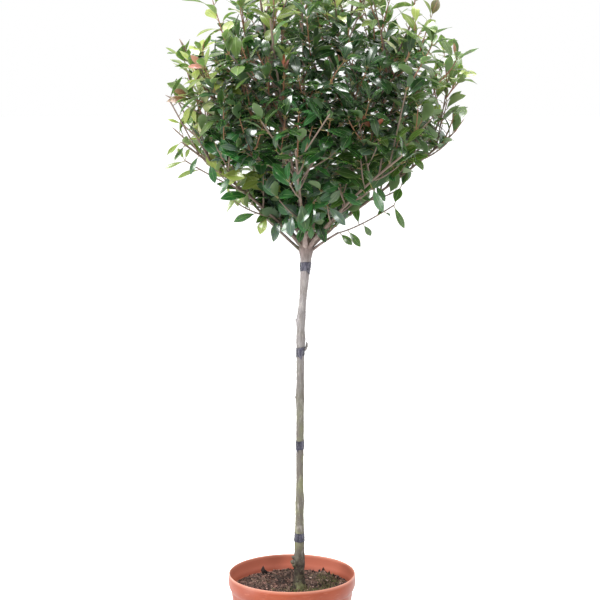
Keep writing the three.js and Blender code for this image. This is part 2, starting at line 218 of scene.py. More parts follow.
def tube_faces(rings, sides):
    """The same with closed ends: the two points after the rings are the middles of the ends."""
    start = rings * sides
    last = start - sides
    faces = ring_faces(rings, sides)
    faces += [((k + 1) % sides, k, start) for k in range(sides)]
    faces += [(last + k, last + (k + 1) % sides, start + 1) for k in range(sides)]
    return faces


def add_tube(shape, centres, radii, sides, relief=None):
    """A closed tube along a row of centres. relief(turn, centre) adds to its radius."""
    centres = np.asarray(centres, float)
    tangents = np.gradient(centres, axis=0)
    tangents /= np.linalg.norm(tangents, axis=1)[:, None]
    side = np.cross(tangents[0], UP if abs(tangents[0][2]) < 0.9 else np.array([1.0, 0, 0]))
    points = []
    for radius, centre, along in zip(radii, centres, tangents):
        side = unit(side - along * side.dot(along))
        over = np.cross(along, side)
        for k in range(sides):
            turn = 2 * math.pi * k / sides
            out = radius + (relief(turn, centre) if relief else 0)
            points.append(centre + out * (math.cos(turn) * side + math.sin(turn) * over))
    shape.add(points + [centres[0], centres[-1]], tube_faces(len(centres), sides))


def add_lathe(shape, profile, segments):
    """A solid turned about +Z. profile holds (radius, height) and starts and ends on the axis."""
    inner = profile[1:-1]
    turns = np.linspace(0, 2 * math.pi, segments, endpoint=False)
    points = [(r * math.cos(a), r * math.sin(a), z) for r, z in inner for a in turns]
    points += [(0, 0, profile[0][1]), (0, 0, profile[-1][1])]
    shape.add(points, tube_faces(len(inner), segments))


# ---------------------------------------------------------------- materials

# A mix node has sockets for several kinds of value. These are the ones for colours.
MIX_BELOW, MIX_ABOVE, MIX_RESULT = 6, 7, 2


def plain(name, base, roughness, **inputs):
    """A material of one colour."""
    made = bpy.data.materials.new(name)
    made.use_nodes = True
    shader = made.node_tree.nodes["Principled BSDF"]
    shader.inputs["Base Color"].default_value = base
    shader.inputs["Roughness"].default_value = roughness
    for socket, value in inputs.items():
        shader.inputs[socket.replace("_", " ")].default_value = value
    return made


class Pattern:
    """The nodes that give a material its variation of colour and its relief."""

    def __init__(self, material):
        self.tree = material.node_tree
        self.shader = self.tree.nodes["Principled BSDF"]
        self.place = self.node("ShaderNodeTexCoord").outputs["Object"]
        self.tone = None
        self.relief = None

    def node(self, kind, **settings):
        made = self.tree.nodes.new(kind)
        for name, value in settings.items():
            setattr(made, name, value)
        return made

    def feed(self, socket, value):
        if isinstance(value, bpy.types.NodeSocket):
            self.tree.links.new(value, socket)
        else:
            socket.default_value = value

    def noise(self, scale, detail, stretch=(1, 1, 1)):
        mapping = self.node("ShaderNodeMapping")
        self.feed(mapping.inputs["Vector"], self.place)
        self.feed(mapping.inputs["Scale"], stretch)
        made = self.node("ShaderNodeTexNoise")
        self.feed(made.inputs["Vector"], mapping.outputs["Vector"])
        self.feed(made.inputs["Scale"], scale)
        self.feed(made.inputs["Detail"], detail)
        return made.outputs["Fac"]

    def height(self):
        parts = self.node("ShaderNodeSeparateXYZ")
        self.feed(parts.inputs["Vector"], self.place)
        return parts.outputs["Z"]

    def faces_axis(self):
        """More than 0 where a face looks at the part's upright middle line, and about 0.6 in the pot."""
        place = self.node("ShaderNodeNewGeometry")
        looks_out = self.node("ShaderNodeVectorMath", operation="DOT_PRODUCT")
        self.feed(looks_out.inputs[0], place.outputs["Position"])
        self.feed(looks_out.inputs[1], place.outputs["Normal"])
        return self.product(looks_out.outputs["Value"], -5.0)

    def product(self, a, b):
        made = self.node("ShaderNodeMath", operation="MULTIPLY")
        self.feed(made.inputs[0], a)
        self.feed(made.inputs[1], b)
        return made.outputs["Value"]

    def ramp(self, factor, stops):
        """A value turned into colours, or into greys where a stop is a number."""
        made = self.node("ShaderNodeValToRGB")
        self.feed(made.inputs["Fac"], factor)
        elements = made.color_ramp.elements
        while len(elements) < len(stops):
            elements.new(0.5)
        for element, (place, tone) in zip(elements, stops):
            element.position = place
            element.color = (tone, tone, tone, 1) if isinstance(tone, (int, float)) else tone
        return made.outputs["Color"]

    def patches(self, scale, detail, low, high, strength=1.0, stretch=(1, 1, 1)):
        """Noise as a mask: 0 below low, and the strength above high."""
        return self.ramp(self.noise(scale, detail, stretch), [(low, 0.0), (high, strength)])

    def paint(self, tone):
        """The ground colour."""
        self.tone = tone
        self.feed(self.shader.inputs["Base Color"], tone)

    def coat(self, mask, tone):
        """A colour over those that are there already, as far as the mask lets it."""
        made = self.node("ShaderNodeMix", data_type="RGBA")
        self.feed(made.inputs["Factor"], mask)
        self.feed(made.inputs[MIX_BELOW], self.tone)
        self.feed(made.inputs[MIX_ABOVE], tone)
        self.paint(made.outputs[MIX_RESULT])

    def bump(self, height, distance, strength=1.0):
        """Relief, distance in metres, on top of what is there already."""
        made = self.node("ShaderNodeBump")
        self.feed(made.inputs["Height"], height)
        self.feed(made.inputs["Distance"], distance)
        self.feed(made.inputs["Strength"], strength)
        if self.relief:
            self.feed(made.inputs["Normal"], self.relief)
        self.relief = made.outputs["Normal"]
        self.feed(self.shader.inputs["Normal"], self.relief)

    def roughen(self, value):
        self.feed(self.shader.inputs["Roughness"], value)


# where the painted highlight along the pot's lip starts, below its top
LIP_HIGHLIGHT_FROM = POT_HEIGHT * METRES - 0.0035


def terracotta_plastic():
    """Orange-brown plastic with specks and pale scuffs, with painted light on the inside walls and a painted
    highlight along the lip.
    """
    made = plain("terracotta_plastic", colour(178, 90, 64), 0.34)
    p = Pattern(made)
    p.paint(p.ramp(p.noise(22, 3), [(0.3, colour(144, 60, 31)), (0.7, colour(157, 70, 38))]))
    p.coat(p.patches(900, 2, 0.60, 0.72, 0.18), colour(130, 68, 52))
    p.coat(p.patches(60, 5, 0.58, 0.78, 0.26, (1, 1, 5)), colour(206, 132, 106))
    # painted light: faces that look towards the pot's middle (its inside walls) are lighter, standing in for
    # light that falls into the pot
    p.coat(p.ramp(p.faces_axis(), [(0.15, 0.0), (0.45, 0.8)]), colour(206, 122, 100))
    # painted highlight: a pale band along the top of the lip
    p.coat(p.ramp(p.height(), [(LIP_HIGHLIGHT_FROM, 0.0), (LIP_HIGHLIGHT_FROM + 0.0015, 0.8)]), colour(236, 168, 144))
    p.roughen(p.ramp(p.noise(35, 4), [(0.3, 0.30), (0.75, 0.46)]))
    p.bump(p.noise(700, 2), 0.0001, 0.5)
    p.bump(p.noise(9, 2, (1, 1, 2.5)), 0.0016, 0.5)
    return made


def peat():
    """Crumbly brown peat, darker in patches and green with moss in others."""
    made = plain("peat", colour(84, 66, 56), 0.95)
    p = Pattern(made)
    p.paint(p.ramp(p.noise(170, 5), [
        (0.34, colour(42, 33, 30)), (0.47, colour(88, 68, 60)), (0.60, colour(122, 97, 84)),
        (0.74, colour(158, 128, 110)),
    ]))
    p.coat(p.patches(24, 4, 0.46, 0.60, 0.7), colour(46, 38, 32))
    p.coat(p.patches(34, 4, 0.58, 0.70, 0.8), colour(92, 88, 54))
    p.bump(p.noise(420, 5), 0.0016)
    p.bump(p.noise(1400, 3), 0.0005)
    return made


def stem_bark():
    """Smooth grey bark: olive with algae low down, brown at the foot, rosy under the fork."""
    made = plain("stem_bark", colour(150, 142, 132), 0.78)
    p = Pattern(made)
    z = p.height()
    p.paint(p.ramp(z, [
        (0.178, colour(68, 58, 49)), (0.225, colour(80, 73, 62)), (0.250, colour(90, 84, 74)),
        (0.268, colour(106, 101, 92)), (0.440, colour(106, 102, 95)), (0.560, colour(108, 104, 101)),
        (0.760, colour(155, 150, 151)), (0.860, colour(154, 145, 145)), (0.900, colour(134, 110, 102)),
    ]))
    streaks = p.patches(230, 5, 0.35, 0.70, stretch=(1, 1, 0.16))
    p.coat(p.product(streaks, 0.58), colour(94, 84, 76))
    p.coat(p.patches(120, 4, 0.56, 0.70, 0.45, (1, 1, 0.5)), colour(178, 172, 166))
    low = p.ramp(z, [(0.20, 1.0), (0.30, 0.75), (0.46, 0.70), (0.60, 0.12), (0.9, 0.05)])
    algae = p.patches(52, 5, 0.42, 0.62, 0.8, (1, 1, 0.6))
    p.coat(p.product(low, algae), colour(128, 132, 88))
    foot = p.ramp(z, [(0.222, 1.0), (0.262, 0.0)])
    dirt = p.patches(95, 5, 0.40, 0.56, 0.95)
    p.coat(p.product(foot, dirt), colour(50, 42, 34))
    lichen = p.patches(160, 4, 0.56, 0.66, 0.45)
    p.coat(p.product(foot, lichen), colour(116, 118, 92))
    lenticels = p.patches(420, 2, 0.66, 0.74, stretch=(1, 1, 1.9))
    p.coat(p.product(lenticels, 0.55), colour(186, 172, 150))
    p.roughen(p.ramp(streaks, [(0.0, 0.68), (1.0, 0.86)]))
    p.bump(p.noise(260, 5, (1, 1, 0.3)), 0.0009)
    p.bump(lenticels, 0.0004)
    p.bump(p.noise(1500, 3), 0.0002)
    return made


def bough_bark():
    """The same bark on younger wood: greyer and rosier, with green patches and pale spots."""
    made = plain("bough_bark", colour(140, 126, 118), 0.75)
    p = Pattern(made)
    p.paint(p.ramp(p.noise(75, 5), [
        (0.30, colour(108, 92, 86)), (0.50, colour(144, 126, 119)), (0.68, colour(174, 158, 150)),
    ]))
    p.coat(p.patches(30, 3, 0.46, 0.62, 0.7), colour(100, 104, 78))
    spots = p.patches(520, 2, 0.64, 0.72)
    p.coat(p.product(spots, 0.5), colour(190, 176, 156))
    p.bump(p.noise(330, 5), 0.0006)
    p.bump(spots, 0.0003)
    return made


def tying_tape():
    """Dark, slightly blue tape with dull dust on it."""
    made = plain("tying_tape", colour(52, 52, 68), 0.4)
    p = Pattern(made)
    p.paint(p.ramp(p.noise(130, 4, (1, 1, 0.35)), [(0.40, colour(30, 30, 42)), (0.60, colour(66, 64, 80))]))
    dust = p.patches(200, 4, 0.52, 0.66, 0.5, (1, 1, 0.4))
    p.coat(dust, colour(124, 122, 134))
    p.roughen(p.ramp(dust, [(0.0, 0.26), (1.0, 0.6)]))
    p.bump(p.noise(200, 3, (1, 1, 0.25)), 0.0012)
    return made


# ---------------------------------------------------------------- the growth rule


def stem_centre(height):
    share = height / STEM.fork
    bend = smoothstep(height, STEM.bend_from, STEM.fork)
    return np.array([
        STEM.foot_x + STEM.lean * (0.25 * min(share, 1) + 0.75 * bend),
        STEM.sway * math.sin(1.5 * math.pi * share),
        SOIL.top + GAP + height,
    ])


def stem_radius(height, azimuth):
    last = len(STEM_OUTLINE) - 1
    k = int(np.clip(np.searchsorted(STEM_OUTLINE[:, 0], height) - 1, 0, last - 1))
    (low, start), (high, end) = STEM_OUTLINE[k], STEM_OUTLINE[k + 1]
    radius = start + (end - start) * smoothstep(height, low, high)
    for knot_height, knot_azimuth, size in KNOTS:
        around = 2 * start * math.sin((azimuth - math.radians(knot_azimuth)) / 2)
        away = math.hypot(height - knot_height, around) / KNOT_SPREAD
        radius += size * math.exp(-away * away)
    return radius


FORK = stem_centre(STEM.fork)
HEART = FORK + np.array(CROWN.offset)


def share_of_ball(point):
    """How far a point lies out from the crown's heart, as a share of the ball's radius that way."""
    away = point - HEART
    tall = CROWN.up if away[2] > 0 else CROWN.down
    return math.sqrt((away[0] / CROWN.radius) ** 2 + (away[1] / CROWN.radius) ** 2 + (away[2] / tall) ** 2)


def reach_along(heading):
    """How far the ball reaches from the fork, found by halving."""
    inside, outside = 60.0, 2 * CROWN.radius + 60.0
    for _ in range(30):
        middle = (inside + outside) / 2
        if share_of_ball(FORK + heading * middle) < 1:
            inside = middle
        else:
            outside = middle
    return inside


def plan_boughs():
    """Where every bough and its mass go: the same facts that the solids are made from."""
    dice = Dice(SEED)
    plans = []
    for whorl in WHORLS:
        for k in range(whorl["count"]):
            azimuth = whorl["turn"] + 360 * k / whorl["count"] + dice.around(6)
            lift = whorl["lean"] * math.cos(math.radians(azimuth - 180)) + dice.around(2)
            heading = direction(azimuth, whorl["elevation"] + lift)
            reach = reach_along(heading) * dice.between(0.97, 1.05)
            facts = dict(whorl, name=f"{whorl['name']}_{k + 1}", azimuth=azimuth)
            plans.append(SimpleNamespace(heading=heading, reach=reach, wild=False, **facts))
    for shoot in SHOOTS:
        facts = dict(shoot, name=f"shoot_{shoot['name']}")
        heading = direction(shoot["azimuth"], shoot["elevation"])
        plans.append(SimpleNamespace(heading=heading, wild=True, **facts))
    return plans


PLANS = plan_boughs()


def off_line(away, heading):
    return float(np.linalg.norm(away - heading * away.dot(heading)))


def in_space(plan, point, margin):
    """Whether a point keeps to its bough's part of the crown, margin clear of the others."""
    away = point - FORK
    if plan.wild:
        return off_line(away, plan.heading) < SHOOT_ROOM.leafy - margin
    slope = math.atan2(away[2], math.hypot(away[0], away[1]))
    if slope < math.radians(CROWN.lowest) or share_of_ball(point) > CROWN.furthest:
        return False
    for other in PLANS:
        if other is plan:
            continue
        if other.wild:
            is_bare = away.dot(other.heading) < other.bare * other.reach
            room = SHOOT_ROOM.bare if is_bare else SHOOT_ROOM.leafy
            if off_line(away, other.heading) <= room + margin:
                return False
        elif away.dot(unit(plan.heading - other.heading)) <= margin:
            return False
    return True


class Limb:
    """A tapering limb along a curve with three guide points."""

    def __init__(self, start, middle, end, radius_from, radius_to, sides, rings):
        self.start, self.middle, self.end = start, middle, end
        self.radius_from, self.radius_to, self.sides, self.rings = radius_from, radius_to, sides, rings
        finely = self.curve(np.linspace(0, 1, 201))
        travelled = np.concatenate([[0], np.cumsum(np.linalg.norm(np.diff(finely, axis=0), axis=1))])
        self.length = travelled[-1]
        self.travelled = travelled
        self.centres = self.spaced(rings)
        tangents = self.tangents(rings)
        # The normals are carried along without a twist, from the tangent's smallest part, as in the
        # solids.
        least = int(np.argmin(np.abs(tangents[0]) - np.array([0, 1e-12, 2e-12])))
        first = unit(np.cross(tangents[0], np.eye(3)[least]))
        self.normals = [np.cross(tangents[0], first)]
        for before, after in zip(tangents, tangents[1:]):
            axis = np.cross(before, after)
            if np.linalg.norm(axis) > 1e-15:
                angle = math.acos(min(1, max(-1, before.dot(after))))
                self.normals.append(turned(self.normals[-1], unit(axis), angle))
            else:
                self.normals.append(self.normals[-1])
        self.binormals = [np.cross(along, normal) for along, normal in zip(tangents, self.normals)]

    def curve(self, share):
        share = np.asarray(share)[:, None]
        return self.start * (1 - share) ** 2 + 2 * self.middle * share * (1 - share) + self.end * share**2

    def evenly(self, rings):
        return np.interp(np.linspace(0, self.length, rings + 1), self.travelled, np.linspace(0, 1, 201))

    def spaced(self, rings):
        return self.curve(self.evenly(rings))

    def tangents(self, rings):
        share = self.evenly(rings)[:, None]
        along = 2 * (1 - share) * (self.middle - self.start) + 2 * share * (self.end - self.middle)
        return along / np.linalg.norm(along, axis=1)[:, None]

    def radius_at(self, share):
        return lerp(self.radius_from, self.radius_to, share)

    def ring_below(self, share):
        return min(int(share * self.rings), self.rings - 1)

    def point_at(self, share):
        ring = self.ring_below(share)
        return lerp(self.centres[ring], self.centres[ring + 1], share * self.rings - ring)

    def onward(self, share):
        ring = self.ring_below(share)
        return unit(self.centres[ring + 1] - self.centres[ring])

    def heading(self, share, side, angle):
        """A direction at an angle to the limb, through the middle of one of its flat sides."""
        ring = self.ring_below(share)
        turn = 2 * math.pi * (side + 0.5) / self.sides
        return (
            self.onward(share) * math.cos(angle)
            + self.binormals[ring] * math.sin(angle) * math.sin(turn)
            + self.normals[ring] * math.sin(angle) * math.cos(turn)
        )


def straight(start, end, *facts):
    return Limb(start, (start + end) / 2, end, *facts)


def tip_radius_of(plan):
    return min(BOUGH.tip_radius, 0.8 * plan.radius)


def bough(plan):
    """The bare part of a bough, from the knuckle of the stem."""
    seat = stem_centre(STEM.fork + plan.level)
    tip = FORK + plan.heading * plan.reach * plan.bare
    middle = (seat + tip) / 2 + UP * BOUGH.arch * np.linalg.norm(tip - seat)
    seat = seat + direction(plan.azimuth, 0) * plan.seat
    return Limb(seat, middle, tip, plan.radius, tip_radius_of(plan), 5, 3)


def leader(plan, dice):
    """The limb that carries a bough on through its mass of foliage."""
    main = bough(plan)
    onward = unit(main.end - main.middle)
    start = main.end + onward * GAP
    end = FORK + plan.heading * plan.reach
    middle = start + onward * 0.5 * np.linalg.norm(end - start)
    middle[0] += dice.around(LEADER.sway)
    middle[1] += dice.around(LEADER.sway)
    return Limb(start, middle, end, tip_radius_of(plan), LEADER.tip_radius, LEADER.sides, LEADER.rings)


def twig(plan, parent, share, side):
    """A twig of a leader, as long as its part of the crown lets it be."""
    angle = math.radians(lerp(TWIG.inside, TWIG.outside, share))
    heading = unit(parent.heading(share, side, angle) + UP * TWIG.rise)
    root = parent.point_at(share)
    radius = TWIG.thinner * parent.radius_at(share)
    length = TWIG.longest
    while length > TWIG.shortest:
        end = root + heading * length
        if in_space(plan, end, TWIG.margin) and share_of_ball(end) < TWIG.furthest:
            return straight(root, end, radius, TWIG.tip_radius, TWIG.sides, TWIG.rings)
        length *= 0.85
    return None


def twigs_of(plan, parent, dice):
    twigs = []
    count = 0 if plan.wild else int(parent.length / TWIG.spacing + 0.5)
    for k in range(count):
        share = lerp(TWIG.first, TWIG.last, k / count)
        side = (GOLDEN_ANGLE * k + dice.around(20)) / 360 * parent.sides
        longest = None
        for turn in (0, 0.5, -0.5, 1, -1):
            tried = twig(plan, parent, share, side + turn)
            if tried and (longest is None or tried.length > 1.3 * longest.length):
                longest = tried
        if longest:
            twigs.append(longest)
    return twigs


# ---------------------------------------------------------------- finer growth

SPRIG = SimpleNamespace(
    spacing=27, first=0.16, last=0.95, longest=84, shortest=24, inside=52, outside=32,
    rise=0.30, bend=0.26, radius=1.8, tip_radius=1.0, furthest=0.97, slack=8, sides=6, rings=6,
    thinned_top=0.60, own_green=0.45, low_first=0.04, high_first=0.3,
)
SPIRE = SimpleNamespace(
    length=(50, 105), shortest=25, chance=0.5, from_height=0.74, highest=1500, leaf_room=30,
    lean=0.35, sway=0.2, bow=4,
)
SHOOT_RADIUS, SHOOT_TIP_RADIUS = 1.5, 0.8
SHOOT_RINGS = 24  # of the two long single shoots
LOW_SPRAYS = SimpleNamespace(shares=(0.45, 0.62, 0.78, 0.95), length=(30, 62))
SWELLING, LAST_RING = 0.16, 0.45  # of the fine wood's radius
# Rings along and sides round the tubes of the fine wood.
TUBES = {
    "leader": (30, 8), "twig": (16, 6), "sprig": (8, 5), "spire": (10, 5), "shoot": (12, 6),
    "bare_tip": (6, 6),
}
PETIOLE = SimpleNamespace(length=7.0, radius=0.75, sides=4, overlap=1.5)
# change: the heights in the crown between which leaves turn from low ones, broader and less
# pointed, to high ones. hang: how much they hang at the bottom and at the top.
LEAF = SimpleNamespace(
    length=(36, 57), slimness=(0.37, 0.50), spacing=8.9, size=(0.86, 1.08), spread=(52, 74),
    hang=(0.70, -0.08), lifts=(0.0, 0.6, 1.2), jitter=0.42, curl=(16, 66), fold=(2, 18), twist=20,
    wave=0.07, change=(0.15, 0.45), low_width=1.18, low_point=0.5,
)
ROSETTE = SimpleNamespace(count=4, share=0.985, size=(0.66, 0.96), spread=(28, 52))
HUNG = SimpleNamespace(face=np.array([-0.3, -0.75, 0.6]), curl=(15, 50), point=0.5)
# What makes a spray's green younger and lighter: young leaves towards the top and the skin, which are also
# painted light there; painted light at the sides, for the light that wraps round from the backdrop; painted
# shade in the middle below the top; and how much chance adds or takes.
YOUTH_AND_LIGHT = SimpleNamespace(least=0.10, top=0.62, skin=0.10, left=0.44, right=0.38, less_inside=0.22, spread=0.20)
# Height in the crown, from the fork at 0 to the top at 1, against how much of the ball is leafy.
LEAFY_HEIGHTS = [0.0, 0.30, 0.45, 0.62, 0.72, 0.80, 1.0]
LEAFY_SHARES = [1.04, 0.97, 0.92, 0.95, 0.95, 0.92, 0.87]
FULLER_RIGHT = 0.04
# How far leaves hang below the cone in which the lowest boughs stand: at the right, and how
# much further at the left.
HANGING = SimpleNamespace(right=-12.0, more_left=24.0, loose=12.0)
LOWEST_LEAF = 9.0  # over the fork
# The dark middle over the fork: the share of leaves left out, and the radii where it fades out.
HOLLOW = SimpleNamespace(share=0.5, inner=70.0, outer=130.0)
TOP_LOSS = 0.10  # the share of leaves that the shoots at the top do without
OLD_WOOD_BELOW = 0.45  # of the crown's height: below it the fine twigs are grey
BARE_TIPS = {"low_1": 36}  # how far bare wood goes on at the end of a leader
BARE_TIP_RADII = (1.6, 0.6)
DEPTH_COUNTS = 0.14  # how much a marked shoot's foot may lie off to be nearer to the crown's front
NEAR_BASE = 12.0  # how near to a marked leaf's base its wood has to appear

# Colours of the leaves' upper side. The first eight run from the oldest leaf to the youngest, which is also
# from dark to light, and the choice among them paints light and shade as well.
LEAF_KINDS = {
    "deep": (30, 56, 28), "dusk": (46, 72, 38), "mid": (62, 90, 44), "moss": (82, 106, 50),
    "olive": (110, 128, 56), "light": (136, 150, 72), "fresh": (162, 170, 120), "pale": (178, 186, 144),
    "bronze": (126, 88, 68), "pink": (190, 128, 118), "red": (158, 78, 56), "umber": (96, 84, 58),
    "slate": (78, 98, 88), "pine": (44, 90, 48), "fir": (72, 106, 74),
}
GREENS = list(LEAF_KINDS)[:8]
YOUNG = list(LEAF_KINDS)[8:12]
# the last three are bluer greens of their own, made paler and greyer as painted light and sheen from below on
# the lowest sprays
LOW_GREENS = list(LEAF_KINDS)[12:]
# the lowest sprays' bluer greens carry painted light and sheen from below
LOW_SHARE = 0.75  # how many of the lowest sprays take one of the bluer greens
# Leaves that stand out at the front: kind, base across and up, heading across and up, length and
# slimness.
MARKED_LEAVES = [
    ("light", (-52, 943), (-0.45, -0.9), 33, 0.70),
    ("bronze", (-206, 1180), (-1.0, -0.1), 44, 0.46), ("bronze", (-204, 1186), (-0.9, 0.5), 34, 0.42),
    ("pink", (-174, 1250), (-0.7, 0.7), 32, 0.40), ("pink", (-172, 1248), (-0.9, 0.2), 28, 0.38),
    ("red", (-16, 1256), (0.0, 1.0), 24, 0.34), ("pink", (-16, 1256), (0.4, 0.9), 18, 0.32),
    ("red", (161, 1126), (-0.5, 0.8), 32, 0.32), ("red", (164, 1126), (0.6, 0.8), 29, 0.32),
    ("umber", (272, 1350), (0.3, 0.9), 31, 0.72), ("umber", (-216, 1268), (-0.2, 1.0), 27, 0.6),
    ("light", (330, 1222), (0.95, 0.2), 31, 0.62), ("pink", (329, 1268), (-0.2, 1.0), 28, 0.22),
    ("slate", (0, 950), (-0.15, -1.0), 40, 0.46), ("deep", (40, 955), (0.3, -1.0), 40, 0.44),
    ("pine", (-80, 988), (-1.0, 0.02), 54, 0.46), ("fir", (-66, 950), (-0.95, -0.3), 44, 0.42),
    ("slate", (-22, 962), (-0.3, -0.95), 44, 0.48), ("dusk", (18, 974), (0.2, -1.0), 48, 0.50),
    ("pine", (16, 962), (0.95, 0.25), 50, 0.44), ("deep", (56, 958), (0.35, -0.9), 50, 0.42),
    ("slate", (74, 968), (0.7, -0.7), 46, 0.40), ("fir", (150, 1010), (0.4, -0.9), 46, 0.38),
    ("fir", (176, 1012), (0.5, -0.85), 34, 0.42), ("dusk", (-100, 1000), (-0.85, 0.3), 44, 0.40),
    ("mid", (-36, 978), (-0.8, -0.5), 48, 0.44), ("deep", (36, 985), (-0.2, -0.95), 46, 0.44),
    ("pine", (106, 1000), (0.8, -0.45), 44, 0.42), ("dusk", (-42, 930), (-0.2, -1.0), 30, 0.36),
    ("fir", (-118, 1030), (-0.5, -0.8), 38, 0.40), ("slate", (-30, 1034), (-0.5, -0.6), 38, 0.50),
    ("pine", (30, 1010), (-0.9, -0.5), 56, 0.50), ("pine", (44, 1016), (0.9, -0.1), 54, 0.48),
    ("pine", (-30, 1006), (0.3, -0.95), 46, 0.60),
    ("pine", (26, 962), (0.1, -1.0), 44, 0.50), ("deep", (36, 946), (-0.35, -0.95), 34, 0.50),
    ("dusk", (10, 942), (0.7, -0.7), 34, 0.46), ("fir", (44, 936), (-0.1, -1.0), 26, 0.50),
    ("pine", (48, 974), (-0.6, -0.8), 46, 0.48),
    ("fir", (-186, 1072), (-0.4, -0.8), 36, 0.34), ("pine", (-160, 1056), (0.2, -0.9), 38, 0.42),
    ("light", (-222, 1140), (0.2, 0.9), 36, 0.40),
    ("light", (-228, 1134), (-0.8, 0.3), 26, 0.32), ("olive", (-226, 1112), (-0.7, -0.6), 32, 0.34),
    ("olive", (-232, 1122), (0.3, 0.9), 32, 0.36), ("mid", (-206, 1096), (-0.5, -0.8), 34, 0.38),
]
# Young shoots that stand out at the edge or in front: kind of leaf, foot and tip, across and up.
MARKED_SHOOTS = [
    ("light", (-140, 1287), (-158, 1388)), ("olive", (266, 1273), (277, 1350)),
    ("light", (310, 1190), (334, 1222)),
    ("olive", (-200, 1222), (-214, 1268)), ("light", (-174, 1186), (-200, 1190)),
    ("light", (234, 1263), (246, 1336)),
    ("light", (187, 1323), (198, 1396)), ("fresh", (-94, 1323), (-104, 1400)),
    ("fresh", (149, 1293), (159, 1373)),
    ("moss", (236, 1222), (280, 1296)), ("olive", (226, 1262), (258, 1326)),
    ("moss", (258, 1190), (302, 1256)),
    ("moss", (150, 1078), (161, 1124)), ("moss", (-20, 1204), (-16, 1254)),
    ("olive", (-152, 1206), (-172, 1248)), ("moss", (304, 1222), (328, 1266)),
    ("dusk", (68, 1185), (80, 1232)), ("deep", (92, 1208), (104, 1262)),
    ("dusk", (198, 1222), (210, 1262)), ("deep", (-66, 1090), (-58, 1135)),
]
# The leaves of the two low single shoots: share of the shoot, heading across, back and up,
# length and slimness. The wood ends short of the solid's reach, and leaves fill the rest.
SHOOT_LEAVES = {
    "shoot_right": [
        (0.02, (0.74, -0.2, -0.67), 29, 0.50), (0.16, (0.62, -0.1, -0.78), 36, 0.44),
        (0.36, (-0.22, 0.2, 0.95), 38, 0.42), (0.42, (0.55, 0.3, -0.8), 27, 0.46),
        (0.66, (0.4, -0.6, 0.5), 22, 0.5), (0.80, (0.5, 0.5, -0.4), 22, 0.44),
        (0.99, (0.3, 0.1, 0.9), 29, 0.68), (0.98, (0.42, -0.1, -0.9), 45, 0.30),
    ],
    "shoot_left": [
        (0.02, (-0.55, -0.4, -0.8), 50, 0.24), (0.10, (0.1, -0.5, -0.8), 34, 0.44),
        (0.46, (0.5, -0.4, 0.8), 30, 0.30), (0.72, (-0.95, 0.1, -0.3), 44, 0.28),
        (0.98, (-1.0, 0.1, -0.35), 46, 0.22), (0.99, (-0.5, 0.3, 0.8), 24, 0.40),
        (0.99, (0.3, -0.4, 0.8), 22, 0.44),
    ],
}
# Where the shoots' wood bends to and ends, from the fork: across, back and up.
SHOOT_BENDS = {
    "shoot_right": ((105, -30, 38), (176, -44, 86)),
    "shoot_left": ((-180, 18, 130), (-246, 25, 170)),
}
# The same for the leader of the lowest bough at the right.
LEADER_BENDS = {"low_1": ((222, 14, 158), (298, 20, 226))}
# The same for the bare part of the left shoot, which first follows the lowest bough.
BOUGH_BENDS = {"shoot_left": ((-84, 10, 52), (-130, 14, 110))}
SHOOT_KINDS = {"shoot_right": "mid", "shoot_left": "olive"}
# Where the outline is loose: across from and to, up from and to, and the share of leaves left out.
LOOSE_EDGES = [
    (286, 400, 1120, 1222, 0.55), (-280, -190, 1060, 1120, 0.30), (196, 320, 1330, 1420, 0.40),
    (-290, -224, 1130, 1190, 0.35), (256, 330, 1225, 1300, 0.35),
]


def height_in_crown(point):
    return (point[2] - FORK[2]) / (CROWN.offset[2] + CROWN.up)


def share_of_skin(point):
    """How far out a point lies, where 1 is the loose skin of leaves."""
    height = height_in_crown(point)
    away = point - HEART
    right = away[0] / (math.hypot(away[0], away[1]) + 1)
    fuller = 1 + FULLER_RIGHT * right
    return share_of_ball(point) / (fuller * float(np.interp(height, LEAFY_HEIGHTS, LEAFY_SHARES)))


def hangs_too_low(point, loose):
    """Whether a point lies too far below the cone in which the lowest boughs stand."""
    away = point - FORK
    level = math.hypot(away[0], away[1])
    to_left = 0.5 - 0.5 * away[0] / (level + 1)
    low = WHORLS[0]
    slope = math.radians(low["elevation"] + low["lean"] * (2 * to_left - 1))
    below = level * math.sin(slope) - away[2] * math.cos(slope)
    return below > HANGING.right + HANGING.more_left * to_left + loose or away[2] < LOWEST_LEAF


def kept_over_fork(point):
    """The share of leaves that stay: fewer in the dark middle over the fork."""
    level = math.hypot(point[0] - FORK[0], point[1] - FORK[1])
    height = height_in_crown(point)
    low = smoothstep(height, 0.08, 0.16) * (1 - smoothstep(height, 0.34, 0.46))
    return 1 - HOLLOW.share * low * (1 - smoothstep(level, HOLLOW.inner, HOLLOW.outer))


def seen(points):
    """Across and up, where points appear from the camera on the plane through the stem."""
    scale = CAMERA[1] / (CAMERA[1] - points[:, 1])
    return CAMERA[0] + (points[:, 0] - CAMERA[0]) * scale, CAMERA[2] + (points[:, 2] - CAMERA[2]) * scale


def point_seen_at(across, high, back):
    """The other way round: the point, so far back, that appears at a place across and up."""
    scale = (back - CAMERA[1]) / -CAMERA[1]
    return np.array([CAMERA[0] + (across - CAMERA[0]) * scale, back, CAMERA[2] + (high - CAMERA[2]) * scale])


def bent(limb, start, places, rings):
    """A limb with another start and bend. The places of its middle and end are from the fork."""
    middle, end = (FORK + np.array(place, float) for place in places)
    return Limb(start, middle, end, limb.radius_from, limb.radius_to, limb.sides, rings)


def grown_bough(plan):
    """A bough of the scene: the source's line, unless it bends another way."""
    limb = bough(plan)
    if plan.name in BOUGH_BENDS:
        return bent(limb, limb.start, BOUGH_BENDS[plan.name], limb.rings)
    return limb


